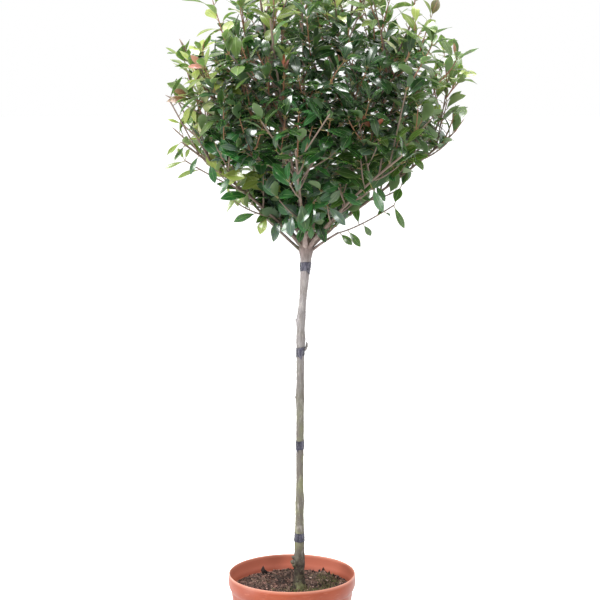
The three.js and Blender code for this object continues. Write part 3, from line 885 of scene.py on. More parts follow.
def blade_of(base, axis, face, length, width, kind, curl, point, dice):
    """What a blade's mesh is made from. Its fold, twist and waves are by chance."""
    return dict(
        root=base,
        axis=axis,
        face=unit(face - axis * face.dot(axis)),
        length=length,
        width=width,
        kind=kind,
        curl=math.radians(dice.between(*curl)),
        fold=math.radians(dice.between(*LEAF.fold)),
        twist=math.radians(dice.around(LEAF.twist)),
        wave=dice.between(0, LEAF.wave),
        phase=dice.between(0, 2 * math.pi),
        point=dice.between(0, point),
    )


class Foliage:
    """All the fine wood and the leaves, gathered mass by mass."""

    def __init__(self):
        self.old_wood, self.young_wood, self.petioles = Shape(), Shape(), Shape()
        self.leaves = []
        self.grown = []
        self.loose = Dice(SEED + 33)

    def wood(self, limb, shape, kind, thinner=1.0):
        """A twig as a tube with small swellings where its leaves stood or stand."""
        rings, sides = TUBES[kind]
        centres = limb.spaced(rings)
        radii = thinner * lerp(limb.radius_from, limb.radius_to, np.linspace(0, 1, rings + 1))
        radii *= 1 + SWELLING * (np.arange(rings + 1) % 2)
        radii[-1] *= LAST_RING
        add_tube(shape, centres, radii, sides)
        self.grown.append(centres)

    def wood_at(self, point):
        return self.young_wood if height_in_crown(point) > OLD_WOOD_BELOW else self.old_wood

    def grow(self, root, knee, blade):
        """A leaf on its stalk, which reaches a little way into the blade."""
        into_blade = blade["root"] + blade["axis"] * PETIOLE.overlap
        add_tube(self.petioles, [root, knee, into_blade], [PETIOLE.radius] * 3, PETIOLE.sides)
        self.leaves.append(blade)

    def hung(self, root, axis, length, slimness, kind, dice):
        """One listed leaf, its face up and to the front."""
        axis = unit(np.array(axis, float))
        knee = root + axis * 0.5 * PETIOLE.length
        base = root + axis * PETIOLE.length
        width = length * slimness
        blade = blade_of(base, axis, HUNG.face, length, width, kind, HUNG.curl, HUNG.point, dice)
        self.grow(root, knee, blade)

    def leaf(self, limb, share, side, spread, size, kind, dice, wild=False):
        """One leaf on its stalk: it hangs more the lower it sits, and turns its face to the light.

        Where it would hang or stand out too far it is tried higher, and is then left out, unless it
        is wild.
        """
        root = limb.point_at(share)
        height = height_in_crown(root)
        hang = lerp(*LEAF.hang, smoothstep(height, 0.2, 0.85)) + dice.around(0.18)
        stalk = PETIOLE.length * size * dice.between(0.8, 1.3)
        length = size * dice.between(*LEAF.length)
        outermost = 1 + dice.between(-0.05, 0.10)
        loose = dice.around(1) * HANGING.loose
        leaving = limb.heading(share, side, spread)
        for lift in LEAF.lifts:
            start = unit(leaving - UP * 0.25 * (hang - lift))
            axis = unit(leaving - UP * (hang - lift))
            knee = root + start * 0.6 * stalk
            base = knee + unit(start + axis) * 0.6 * stalk
            tip = base + axis * length
            has_room = share_of_skin(tip) < outermost and not hangs_too_low(tip, loose)
            if has_room or wild:
                break
        else:
            return False
        outward = unit(root - HEART) * lerp(1.1, 0.36, smoothstep(height, 0.0, 0.45))
        light = limb.onward(share) * 0.35 + UP + outward
        face = light + np.array([dice.around(LEAF.jitter) for _ in range(3)])
        high = smoothstep(height, *LEAF.change)
        width = length * dice.between(*LEAF.slimness) * lerp(LEAF.low_width, 1.0, high)
        point = lerp(LEAF.low_point, 1.0, high)
        blade = blade_of(base, axis, face, length, width, kind, LEAF.curl, point, dice)
        if self.stands_loose(tip):
            return False
        self.grow(root, knee, blade)
        return True

    def stands_loose(self, tip):
        """Whether a leaf is left out because the outline is loose there."""
        for left, right, low, high, share in LOOSE_EDGES:
            if left < tip[0] < right and low < tip[2] < high and self.loose.chance(share):
                return True
        return False

    def green_of(self, point, dice):
        """The kind of green that a spray takes: lighter towards the top and the skin, for younger leaves and
        painted light; lighter at the sides as painted light, and darker in the middle as painted shade.
        """
        height = height_in_crown(point)
        # younger leaves towards the top, painted lighter there as well
        green_rank = YOUTH_AND_LIGHT.top * smoothstep(height, 0.60, 0.96)
        at_skin = smoothstep(share_of_skin(point), 0.80, 1.0)
        green_rank += YOUTH_AND_LIGHT.skin * at_skin + YOUTH_AND_LIGHT.least + dice.around(YOUTH_AND_LIGHT.spread)
        right = (point[0] - HEART[0]) / CROWN.radius
        # painted light: lighter greens at the left and right sides, for the light that wraps round from the
        # white backdrop
        at_side = smoothstep(abs(right), 0.50, 0.92) * smoothstep(height, 0.2, 0.4)
        green_rank += (YOUTH_AND_LIGHT.left if right < 0 else YOUTH_AND_LIGHT.right) * at_side
        # painted shade: darker greens in the middle, below the top
        in_middle = 1 - smoothstep(abs(right), 0.25, 0.55)
        below_top = 1 - smoothstep(height, 0.72, 0.86)
        green_rank -= YOUTH_AND_LIGHT.less_inside * in_middle * smoothstep(height, 0.40, 0.50) * below_top
        # the lowest sprays take the paler, greyer low greens: partly their own bluer colour, partly painted
        # light and sheen from below
        if dice.chance(LOW_SHARE * (1 - smoothstep(height, 0.28, 0.50))):
            return dice.pick(LOW_GREENS)
        return GREENS[int(np.clip(green_rank * len(GREENS), 0, len(GREENS) - 1))]

    def spray(self, limb, first, kind, dice, bare_inside=True, wild=False):
        """The leaves along a shoot, closer together towards its tip, and a rosette at the tip."""
        grown = 0
        count = max(1, int(limb.length * (1 - first) / LEAF.spacing))
        turn = dice.between(0, limb.sides)
        for k in range(count):
            share = lerp(first, 0.94, (k / count) ** 0.8)
            place = limb.point_at(share)
            depth = share_of_ball(place)
            if dice.chance(TOP_LOSS * smoothstep(height_in_crown(place), 0.66, 0.84)):
                continue
            if bare_inside and not dice.chance(smoothstep(depth, 0.26, 0.60) * kept_over_fork(place)):
                continue
            side = turn + GOLDEN_ANGLE / 360 * limb.sides * k
            size = dice.between(*LEAF.size)
            spread = math.radians(dice.between(*LEAF.spread))
            grown += self.leaf(limb, share, side, spread, size, kind, dice, wild)
        if bare_inside and not dice.chance(smoothstep(share_of_ball(limb.end), 0.24, 0.52)):
            return grown
        for k in range(ROSETTE.count):
            side = turn + limb.sides * (k / ROSETTE.count + dice.around(0.08))
            spread = math.radians(dice.between(*ROSETTE.spread))
            size = dice.between(*ROSETTE.size)
            grown += self.leaf(limb, ROSETTE.share, side, spread, size, kind, dice, wild)
        return grown

    def sprig(self, plan, parent, share, side, longest):
        """A finer twig: it leaves a twig, and bends up to the light."""
        angle = math.radians(lerp(SPRIG.inside, SPRIG.outside, share))
        heading = unit(parent.heading(share, side, angle) + UP * SPRIG.rise)
        root = parent.point_at(share)
        length = longest
        while length > SPRIG.shortest:
            end = root + heading * length + UP * SPRIG.bend * length
            if in_space(plan, end, -SPRIG.slack) and share_of_skin(end) < SPRIG.furthest:
                radius = min(SPRIG.radius, 0.8 * parent.radius_at(share))
                middle = root + heading * 0.55 * length
                return Limb(root, middle, end, radius, SPRIG.tip_radius, SPRIG.sides, SPRIG.rings)
            length *= 0.82
        return None

    def sprigs(self, plan, parent, first, dice):
        """The finer twigs of one twig, with their leaves. They are thinned out near the top."""
        count = int(parent.length * (SPRIG.last - first) / SPRIG.spacing + 0.5)
        turn = dice.between(0, 360)
        green = self.green_of(parent.end, dice)
        for k in range(count):
            share = lerp(first, SPRIG.last, (k + 0.5) / count)
            side = (turn + GOLDEN_ANGLE * k) / 360 * parent.sides
            grown = self.sprig(plan, parent, share, side, SPRIG.longest * dice.between(0.55, 1.0))
            if grown is None:
                continue
            if dice.chance(SPRIG.thinned_top * smoothstep(height_in_crown(grown.end), 0.55, 0.82)):
                continue
            kind = self.green_of(grown.end, dice) if dice.chance(SPRIG.own_green) else green
            if self.spray(grown, 0.30, kind, dice) or not hangs_too_low(grown.end, -HANGING.loose):
                self.wood(grown, self.wood_at(grown.end), "sprig")

    def spire(self, start, dice):
        """A long young shoot that stands up out of the crown's top."""
        length = dice.between(*SPIRE.length)
        sway = np.array([dice.around(SPIRE.sway), dice.around(SPIRE.sway), 0])
        heading = unit(UP + SPIRE.lean * unit(start - HEART) + sway)
        length = min(length, (SPIRE.highest - start[2]) / heading[2] - SPIRE.leaf_room)
        if length < SPIRE.shortest:
            return
        end = start + heading * length
        middle = (start + end) / 2 + heading[[1, 2, 0]] * SPIRE.bow
        grown = Limb(start, middle, end, SHOOT_RADIUS, SHOOT_TIP_RADIUS, 6, 6)
        self.wood(grown, self.young_wood, "spire")
        self.spray(grown, 0.30, dice.pick(GREENS[4:]), dice, bare_inside=False, wild=True)

    def mass(self, plan, index):
        """What grows in the place of one mass, on the leader and twigs that the solid follows."""
        dice = Dice(SEED + 97 * (index + 1))
        main = leader(plan, dice)
        if plan.name in LEADER_BENDS:
            main = bent(main, main.start, LEADER_BENDS[plan.name], main.rings)
        twigs = twigs_of(plan, main, dice)
        dice = Dice(SEED + 5000 + 131 * index)
        if plan.wild:
            self.single_shoot(plan, main, dice)
            return
        self.wood(main, self.old_wood, "leader", 0.9)
        self.low_leaves(plan, dice)
        for side in twigs:
            self.side_twig(plan, side, dice)
        self.sprigs(plan, main, SPRIG.low_first if plan.level < 0 else SPRIG.high_first, dice)
        self.spray(main, 0.80, self.green_of(main.end, dice), dice)
        if plan.name in BARE_TIPS:
            tip = main.end + unit(main.onward(1) + 0.4 * UP) * BARE_TIPS[plan.name]
            self.wood(straight(main.end, tip, *BARE_TIP_RADII, 6, 4), self.young_wood, "bare_tip")

    def single_shoot(self, plan, main, dice):
        """One of the two long shoots that stand out below the ball."""
        main = bent(main, grown_bough(plan).end, SHOOT_BENDS[plan.name], SHOOT_RINGS)
        self.wood(main, self.old_wood, "leader", 0.6)
        for share, axis, length, slimness in SHOOT_LEAVES[plan.name]:
            self.hung(main.point_at(share), axis, length, slimness, SHOOT_KINDS[plan.name], dice)

    def side_twig(self, plan, limb, dice):
        """One twig of a leader, its sprigs and leaves, and by chance a spire. It may be left out."""
        if hangs_too_low(limb.end, 0):
            return
        stands_out = share_of_skin(limb.end) > SPRIG.furthest and height_in_crown(limb.end) > 0.6
        if stands_out and not dice.chance(0.3):
            return
        leaves_before = len(self.leaves)
        self.sprigs(plan, limb, SPRIG.first, dice)
        self.spray(limb, 0.6, self.green_of(limb.end, dice), dice, wild=stands_out)
        if len(self.leaves) > leaves_before:
            self.wood(limb, self.old_wood, "twig")
        if height_in_crown(limb.end) > SPIRE.from_height and dice.chance(SPIRE.chance):
            self.spire(limb.end, dice)

    def low_leaves(self, plan, dice):
        """Sprays that hang from the bare part of a bough, round the fork."""
        if plan.level > 0:
            return
        limb = bough(plan)
        for share in LOW_SPRAYS.shares:
            side = dice.between(0, limb.sides)
            grown = self.sprig(plan, limb, share, side, dice.between(*LOW_SPRAYS.length))
            if grown is not None:
                self.wood(grown, self.wood_at(grown.end), "sprig")
                self.spray(grown, 0.35, self.green_of(grown.end, dice), dice, bare_inside=False)

    def marked_shoots(self):
        """The young shoots that stand out, each from wood that appears near its foot, at the front."""
        dice = Dice(SEED + 55)
        wood = np.concatenate(self.grown)
        appears_across, appears_high = seen(wood)
        for kind, (across, high), tip in MARKED_SHOOTS:
            side = math.hypot((across - HEART[0]) / CROWN.radius, (high - HEART[2]) / CROWN.up)
            in_front = CROWN.radius * math.sqrt(max(0.04, 1 - side * side))
            off = np.hypot(appears_across - across, appears_high - high)
            root = wood[int(np.argmin(off + DEPTH_COUNTS * np.abs(wood[:, 1] + in_front)))]
            end = point_seen_at(*tip, root[1])
            middle = (root + end) / 2 + np.array([dice.around(6), dice.around(6), 0])
            shoot = Limb(root, middle, end, SHOOT_RADIUS, SHOOT_TIP_RADIUS, 6, 8)
            self.wood(shoot, self.young_wood, "shoot")
            self.spray(shoot, 0.2, kind, dice, bare_inside=False, wild=True)

    def marked_leaves(self):
        """The leaves that stand out, each on the foremost wood that appears near its base."""
        dice = Dice(SEED + 77)
        wood = np.concatenate(self.grown)
        appears_across, appears_high = seen(wood)
        for kind, (across, high), (aside, up), length, slimness in MARKED_LEAVES:
            off = np.hypot(appears_across - across, appears_high - high)
            near = wood[off < max(NEAR_BASE, off.min() + 1)]
            root = near[int(np.argmin(near[:, 1]))]
            self.hung(root, (aside, -0.35, up), length, slimness, kind, dice)


# ---------------------------------------------------------------- leaf blades

ROWS = np.linspace(0.03, 0.985, 9)
ACROSS = np.array([-1, -0.55, -0.05, 0.05, 0.55, 1])
MIDRIB_STRIP = 2
BLADE_THICKNESS = 0.5
LEAF_GLOW = 0.18  # how much of the light passes into the blade
STRAIGHT_AT = 0.35  # the share of a blade's length at which it runs along its axis


def blade_points(leaves):
    """The points of many leaves at once: the upper sheet of each, then the spine of its underside."""

    def fact(name):
        return np.array([leaf[name] for leaf in leaves])[:, None, None]

    share = ROWS[None, :, None]
    across = ACROSS[None, None, :]
    blunt = 0.8 + 0.55 * fact("point") * share**3
    half_width = 0.5 * fact("width") * np.sin(np.pi * share**1.2) ** blunt
    bend = fact("curl") * (STRAIGHT_AT - share)
    step = fact("length") / (len(ROWS) - 1)
    along = np.cumsum(np.cos(bend) * step, axis=1) - step
    over = np.cumsum(np.sin(bend) * step, axis=1)
    wave = fact("wave") * np.sin(2 * np.pi * 2.3 * share + fact("phase") + 1.9 * np.sign(across)) * across**2
    twist = fact("twist") * share
    out = across * np.cos(fact("fold") + 0 * share)
    lift = np.abs(across) * np.sin(fact("fold")) - 0.12 * across**2 + wave
    out, lift = out * np.cos(twist) - lift * np.sin(twist), out * np.sin(twist) + lift * np.cos(twist)
    out, lift = out * half_width, lift * half_width
    axis, face, root = fact("axis"), fact("face"), fact("root")
    side = np.cross(face, axis)
    tilt_along, tilt_over = -np.sin(bend), np.cos(bend)
    upper = (
        root
        + axis * (along + tilt_along * lift)[..., None]
        + face * (over + tilt_over * lift)[..., None]
        + side * out[..., None]
    )
    spine = upper[:, :, MIDRIB_STRIP:MIDRIB_STRIP + 2].mean(axis=2)
    down = -(axis * tilt_along[..., None] + face * tilt_over[..., None])[:, :, 0]
    lower = spine + BLADE_THICKNESS * down
    return np.concatenate([upper.reshape(len(leaves), -1, 3), lower], axis=1)


def blade_faces():
    """The faces of one leaf, upper sheet first, and the material slot of each."""
    rows, columns = len(ROWS), len(ACROSS)
    upper = np.arange(rows * columns).reshape(rows, columns)
    middle = np.arange(rows * columns, rows * columns + rows)
    lower = np.stack([upper[:, 0], middle, upper[:, -1]], axis=1)
    faces, slots = [], []
    for sheet, index in enumerate((upper, lower)):
        for r in range(rows - 1):
            for c in range(index.shape[1] - 1):
                quad = (index[r, c], index[r + 1, c], index[r + 1, c + 1], index[r, c + 1])
                faces.append(quad if sheet == 0 else quad[::-1])
                slots.append(2 if sheet == 0 and c == MIDRIB_STRIP else sheet)
    return np.array(faces), slots


def blended(tone, other, share):
    return colour(*lerp(np.array(tone), np.array(other), share))


def leaf_piece(kind, leaves, replaced):
    """All the leaves of one kind: glossy above, dull and paler below, with a pale midrib."""
    tone = LEAF_KINDS[kind]
    if kind in YOUNG:
        green_rank = 1.0
        under = blended(tone, (190, 160, 120), 0.45)
        rib = blended(tone, (214, 150, 118), 0.5)
    else:
        green_rank = GREENS.index(kind) / (len(GREENS) - 1) if kind in GREENS else 0.3
        under = blended((66, 90, 58), (150, 168, 108), green_rank)
        rib = blended(tone, (178, 188, 124), 0.34)
    through = dict(Subsurface_Weight=LEAF_GLOW, Subsurface_Radius=(1, 1.6, 0.5), Subsurface_Scale=0.002)
    materials = [
        plain(f"leaf_{kind}", colour(*tone), lerp(0.20, 0.30, green_rank), Specular_IOR_Level=0.7, **through),
        plain(f"leaf_{kind}_underside", under, 0.55, **through),
        plain(f"leaf_{kind}_midrib", rib, 0.40, **through),
    ]
    points = blade_points(leaves)
    faces, slots = blade_faces()
    starts = np.arange(len(leaves))[:, None, None] * points.shape[1]
    shape = Shape()
    shape.add(points, (faces[None] + starts).reshape(-1, 4).tolist(), slots * len(leaves))
    shape.piece(f"leaves_{kind}", materials, "foliage", replaced, sharp=75)


def build_crown():
    masses = [f"foliage_{plan.name}" for plan in PLANS]
    crown = Foliage()
    for index, plan in enumerate(PLANS):
        crown.mass(plan, index)
    crown.marked_shoots()
    crown.marked_leaves()
    old = plain("twig_old", colour(128, 110, 98), 0.8)
    young = plain("twig_young", colour(146, 102, 76), 0.55)
    stalk = plain("leaf_stalk", colour(142, 124, 78), 0.55)
    crown.old_wood.piece("twigs_old", [old], "bark", masses)
    crown.young_wood.piece("twigs_young", [young], "bark", masses)
    crown.petioles.piece("leaf_stalks", [stalk], "foliage", masses)
    for kind in LEAF_KINDS:
        leaves = [leaf for leaf in crown.leaves if leaf["kind"] == kind]
        if leaves:
            leaf_piece(kind, leaves, masses)


# ---------------------------------------------------------------- stem, boughs and ties

STEM_MESH = SimpleNamespace(sides=72, rings=430, low=-6.0)
BARK_PROUD = 0.6
ROUGH_FOOT = (62.0, 96.0)  # between these heights the stem turns from rough to smooth


def bark_radius(height, turn):
    """The stem's radius with its bark: ribs at the foot, soft lumps, a rough foot and fine bands."""
    x, y = math.cos(turn), math.sin(turn)
    above = max(height, 0)
    radius = stem_radius(above, turn)
    radius *= 1 + 0.10 * math.exp(-above / 16) * math.sin(3 * turn + 0.8)
    radius += BARK_PROUD * smoothstep(height, 20, 110)
    radius += 0.55 * fractal(1.1 * x, 1.1 * y, height / 46)
    radius += 0.22 * fractal(4.2 * x, 4.2 * y, height / 9)
    rough = 1 - smoothstep(height, *ROUGH_FOOT)
    radius += rough * 1.25 * fractal(1.9 * x + 3, 1.9 * y, height / 11)
    band = fractal(2.6 * x + 9, 2.6 * y, height / 2.4, 2)
    return radius + 0.40 * smoothstep(band, 0.22, 0.5)


def build_stem():
    sides, rings = STEM_MESH.sides, STEM_MESH.rings
    points = []
    for k in range(rings + 1):
        height = lerp(STEM_MESH.low, STEM.top, k / rings)
        for c in range(sides):
            turn = 2 * math.pi * c / sides
            out = np.array([math.cos(turn), math.sin(turn), 0])
            points.append(stem_centre(height) + bark_radius(height, turn) * out)
    points += [stem_centre(STEM_MESH.low), stem_centre(STEM.top) + UP * 3]
    shape = Shape()
    shape.add(points, tube_faces(rings + 1, sides))
    add_stubs(shape)
    shape.piece("stem_with_bark", [stem_bark()], "bark", ["stem"])


def skin(height, azimuth, outward=0.0):
    """A point on the stem's skin, or outward from it."""
    turn = math.radians(azimuth)
    return stem_centre(height) + (stem_radius(height, turn) + outward) * direction(azimuth, 0)


# Where the hooked stub on the right starts, bends and ends: height, azimuth and how far out.
HOOK = [(499, 2, -4), (504, 2, 2.2), (510, 3, 4.4), (516, 4, 4.2), (519, 5, 3.0)]
HOOK_RADII = [3.4, 3.0, 2.6, 2.0, 1.0]
# The other stubs: height, azimuth, length and radius.
STUBS = [
    (57, 202, 4.4, 4.2), (66, 188, 2.6, 3.0), (50, 215, 3.0, 3.2), (186, 325, 1.6, 2.2),
    (403, 148, 1.6, 2.4), (565, 186, 1.2, 2.6),
]


def add_stubs(shape):
    """The short dead stubs of side shoots that were cut away."""
    add_tube(shape, [skin(*place) for place in HOOK], HOOK_RADII, 12)
    for height, azimuth, length, radius in STUBS:
        foot, middle = skin(height - 2, azimuth, -3), skin(height, azimuth, 0.6 * length)
        end = skin(height + 2, azimuth, length)
        add_tube(shape, [foot, middle, end], [1.5 * radius, 1.1 * radius, 0.8 * radius], 12)


def bough_relief(turn, centre):
    """Soft lumps and finer ones on a bough's bark."""
    x, y, z = centre
    across, back = math.cos(turn), math.sin(turn)
    soft = 0.35 * fractal(x / 14 + across, y / 14 + back, z / 14)
    return soft + 0.16 * fractal(x / 3 + 3 * across, y / 3 + 3 * back, z / 3)


def build_boughs():
    """The boughs, each with a collar where it leaves the stem."""
    shape = Shape()
    rings, sides = 34, 18
    share = np.linspace(0, 1, rings + 1)
    for plan in PLANS:
        limb = grown_bough(plan)
        collar = 1 + 0.55 * np.exp(-share * limb.length / 14)
        radii = lerp(limb.radius_from, limb.radius_to, share) * collar
        add_tube(shape, limb.spaced(rings), radii, sides, bough_relief)
    shape.piece("boughs_with_bark", [bough_bark()], "bark", [f"bough_{plan.name}" for plan in PLANS])


TAPE = SimpleNamespace(sides=64, rings=26, pitch=6.2, proud=0.35, inside=0.1, least=0.55, wrap=0.6)


def tape_thickness(number, level, turn):
    """How far a tie's outside stands out: more where a turn of tape lies over the last one."""
    wraps = (level / TAPE.pitch + turn / (2 * math.pi) + 0.3 * number) % 1.0
    crease = 0.25 * fractal(2 * math.cos(turn), 2 * math.sin(turn), level / 4 + 7 * number)
    return TAPE.least + TAPE.wrap * wraps + crease


def add_band(shape, number, middle):
    """A tie's turns of tape: its outside and inside as rings, and the two edges between them."""
    sides, rings = TAPE.sides, TAPE.rings
    slant = 0.9 + 0.35 * number
    points = []
    for is_outside in (True, False):
        for k in range(rings + 1):
            level = TIE_BAND * (k / rings - 0.5)
            for c in range(sides):
                turn = 2 * math.pi * c / sides
                thick = tape_thickness(number, level, turn) if is_outside else TAPE.inside
                height = middle + level + slant * math.sin(turn + number)
                points.append(skin(height, math.degrees(turn), BARK_PROUD + TAPE.proud + thick))
    half = (rings + 1) * sides
    outside = ring_faces(rings + 1, sides)
    faces = outside + [tuple(half + index for index in face[::-1]) for face in outside]
    for c in range(sides):
        a, b = c, (c + 1) % sides
        faces.append((a, half + a, half + b, b))
    for c in range(sides):
        a, b = rings * sides + c, rings * sides + (c + 1) % sides
        faces.append((b, half + b, half + a, a))
    shape.add(points, faces)


def add_loose_end(shape, middle, azimuth):
    """The free end of the tape: a short strip that leaves the band and curls."""
    steps, width, thick = 8, 7.0, 0.5
    points = []
    for face in (0.0, thick):
        for k in range(steps + 1):
            share = k / steps
            height = middle - 0.25 * TIE_BAND - 7 * share
            for edge in (-0.5, 0.5):
                away = BARK_PROUD + 1.1 + 1.6 * share**2 + face
                points.append(skin(height + edge * width, azimuth + 38 * share, away))
    half = 2 * (steps + 1)
    faces = []
    for a in range(0, 2 * steps, 2):
        faces += [(a, a + 1, a + 3, a + 2), (half + a + 2, half + a + 3, half + a + 1, half + a)]
        faces += [(a + 2, half + a + 2, half + a, a), (a + 1, half + a + 1, half + a + 3, a + 3)]
    faces += [(0, half, half + 1, 1), (half - 2, half - 1, 2 * half - 1, 2 * half - 2)]
    shape.add(points, faces)


def build_ties():
    """Bands of tying tape: a few turns that overlap, and a loose end."""
    tape = tying_tape()
    for number, middle in enumerate(TIE_HEIGHTS):
        shape = Shape()
        add_band(shape, number, middle)
        add_loose_end(shape, middle, 165 + 40 * number)
        shape.piece(f"tie_tape_{number + 1}", [tape], "tape", [f"tie_{number + 1}"], sharp=50)


# ---------------------------------------------------------------- pot and compost


def wall_radius(height):
    return lerp(POT_BASE_RADIUS, POT_NECK[0], height / POT_NECK[1])


def pot_profile():
    """Outline of the pot, from the middle of its underside up the outside and down the inside."""
    rim, top = POT_RIM_RADIUS, POT_HEIGHT
    return [
        (0, 0), (96, 0), (99.6, 0), (101, 0.7), (101.9, 2.2),
        *((wall_radius(height), height) for height in (6, 40, 80, 120, 150, 165)),
        (126.0, 170.5), (126.1, 174.0), (126.7, 175.7), (127.9, 177.2),
        (129.3, 179.4), (130.8, 183), (131.9, 187.5), (rim - 0.05, 193), (rim - 0.35, 199),
        (rim - 0.95, 204.5), (rim - 1.35, 206.2), (rim - 1.2, 207.2), (rim - 1.0, 208.4),
        (rim - 1.3, 209.5), (rim - 2.0, top), (rim - 2.9, top - 0.1), (rim - 3.6, top - 0.8),
        (rim - 3.8, top - 2.2), (rim - 3.8, 204), (rim - 3.3, 197), (rim - 3.5, 191), (rim - 4.6, 184),
        (rim - 6.6, 179), (rim - 8.4, 175.5),
        *((wall_radius(height) - POT_WALL, height) for height in (169, 120, 60, POT_FLOOR)),
        (0, POT_FLOOR),
    ]


def build_pot():
    """The turned pot, with the drain holes cut through its floor."""
    shape = Shape()
    add_lathe(shape, pot_profile(), 192)
    pot = shape.piece("pot_moulded", [terracotta_plastic()], "pot", ["pot"])
    drills = Shape()
    for k in range(DRAIN.count):
        turn = 2 * math.pi * k / DRAIN.count
        x, y = DRAIN.circle * math.cos(turn), DRAIN.circle * math.sin(turn)
        add_tube(drills, [(x, y, z) for z in (-5, 0, 4, 9)], [DRAIN.radius] * 4, 40)
    cutter = placed("drills", drills.mesh("drills"))
    holes = pot.modifiers.new("holes", "BOOLEAN")
    holes.operation, holes.solver, holes.object = "DIFFERENCE", "EXACT", cutter
    bpy.context.view_layer.update()
    evaluated = pot.evaluated_get(bpy.context.evaluated_depsgraph_get())
    pot.data = bpy.data.meshes.new_from_object(evaluated)
    pot.modifiers.clear()
    pot.data.set_sharp_from_angle(angle=math.radians(38))
    bpy.data.objects.remove(cutter)


COMPOST_RADIUS = wall_radius(POT_NECK[1]) - POT_WALL - GAP
# Bits that stick up out of the compost: across, back and height.
SPIKES = [(-61, 66, 23), (-55, 68, 14), (66, 70, 13), (78, 58, 12), (88, 44, 11), (58, 76, 12), (44, 82, 9)]
# Mounds of its surface: across, back, height and spread.
MOUNDS = [
    (-60, 66, 8, 14), (64, 66, 11, 14), (86, 48, 8, 13), (-16, 84, 5, 22), (36, 82, 7, 16),
    (-88, 20, 3, 20), (-30, -40, 2, 20), (-78, 52, 4, 14),
]


def lump_at(x, y):
    """How far the compost stands over its mean level, as in the solid."""
    from_middle = math.hypot(x, y)
    from_stem = math.hypot(x - STEM.foot_x, y)
    edge = 1 - smoothstep(from_middle, 0.8 * COMPOST_RADIUS, COMPOST_RADIUS)
    foot = smoothstep(from_stem, SOIL.flat_radius, 2.2 * SOIL.flat_radius)
    broad = math.sin(x * 0.055 + 1.3) * math.cos(y * 0.071 - 0.6)
    return SOIL.lump * edge * foot * (broad + 0.5 * math.sin(x * 0.13 + y * 0.09))


def ground_at(x, y):
    """The height of the compost's surface."""
    fine = 3.0 * fractal(x / 15, y / 15, 4.0) + 1.4 * fractal(x / 4.5, y / 4.5, 9.0)
    mounds = sum(
        high * math.exp(-((x - across) ** 2 + (y - back) ** 2) / spread**2)
        for across, back, high, spread in MOUNDS
    )
    return SOIL.top + lump_at(x, y) + fine + mounds


def ring_of(radius, segments):
    turns = [2 * math.pi * k / segments for k in range(segments)]
    return [(radius * math.cos(turn), radius * math.sin(turn)) for turn in turns]


def build_compost():
    """The surface as rings round the stem's foot, then the side and the underside."""
    rings, segments = 52, 170
    points = [(STEM.foot_x, 0, SOIL.top)]
    for ring in range(1, rings + 1):
        share = ring / rings
        for across, back in ring_of(COMPOST_RADIUS * share, segments):
            x = lerp(STEM.foot_x, 0, share) + across
            points.append((x, back, ground_at(x, back)))
    foot = POT_FLOOR + GAP
    points += [(x, y, foot) for x, y in ring_of(wall_radius(foot) - POT_WALL - GAP, segments)]
    points.append((0, 0, foot))
    middle = len(points) - 1
    below = middle - segments
    start = below - segments
    faces = [(0, 1 + k, 1 + (k + 1) % segments) for k in range(segments)]
    faces += [tuple(1 + index for index in face[::-1]) for face in ring_faces(rings, segments)]
    for k in range(segments):
        after = (k + 1) % segments
        faces.append((start + k, below + k, below + after, start + after))
        faces.append((below + k, middle, below + after))
    shape = Shape()
    shape.add(points, faces)
    shape.piece("compost_surface", [peat()], "compost", ["compost"], sharp=70)
    chance = np.random.default_rng(SEED)
    scatter_crumbs(chance)
    scatter_chips(chance)
    scatter_moss(chance)


# The corners of a clod: its top, five round its middle, and its underside.
CLOD = np.array([
    (0, 0, 1), (1, 0, 0), (0.3, 0.95, 0.1), (-0.8, 0.6, -0.1), (-0.8, -0.6, 0.1), (0.3, -0.95, -0.1),
    (0, 0, -1),
])
CLOD_FACES = [face for k in range(1, 6) for face in ((0, k, k % 5 + 1), (6, k % 5 + 1, k))]


def add_clod(shape, centre, sizes, slot, chance):
    """A small lump with a few flat sides, squashed and turned by chance."""
    points = CLOD * (1 + chance.uniform(-0.28, 0.28, (7, 1))) * np.array(sizes) / 2
    yaw, pitch = chance.uniform(0, 2 * math.pi), chance.normal(0, 0.35)
    turn = np.array([[math.cos(yaw), -math.sin(yaw), 0], [math.sin(yaw), math.cos(yaw), 0], [0, 0, 1]])
    tip = np.array([[math.cos(pitch), 0, math.sin(pitch)], [0, 1, 0], [-math.sin(pitch), 0, math.cos(pitch)]])
    shape.add(points @ (turn @ tip).T + centre, CLOD_FACES, slot)


def dropped(chance, reach, least):
    """A chance place on the compost. A larger least keeps more of its middle free."""
    away = reach * COMPOST_RADIUS * math.sqrt(chance.uniform(least, 1))
    turn = chance.uniform(0, 2 * math.pi)
    return away * math.cos(turn), away * math.sin(turn)


CRUMBS = SimpleNamespace(count=3400, size=(1.2, 4.6), dark=(0.86, 0.12, 0.02), light=(0.22, 0.62, 0.16))
CHIPS = SimpleNamespace(count=260, length=(5, 13), flat=2.4, kinds=(0.44, 0.50, 0.06), lost_at_right=0.55)
MOSS = SimpleNamespace(count=1500, height=(2.5, 7), width=(0.8, 1.6), lean=0.45, kinds=(0.6, 0.4))
# The patches of moss: middle across and back, spread, and share of all the moss.
MOSS_PATCHES = [(54, -30, 17, 0.36), (-12, -62, 14, 0.22), (12, -22, 11, 0.22), (84, 30, 12, 0.2)]


def pick_kind(chance, odds):
    return int(chance.choice(len(odds), p=odds))


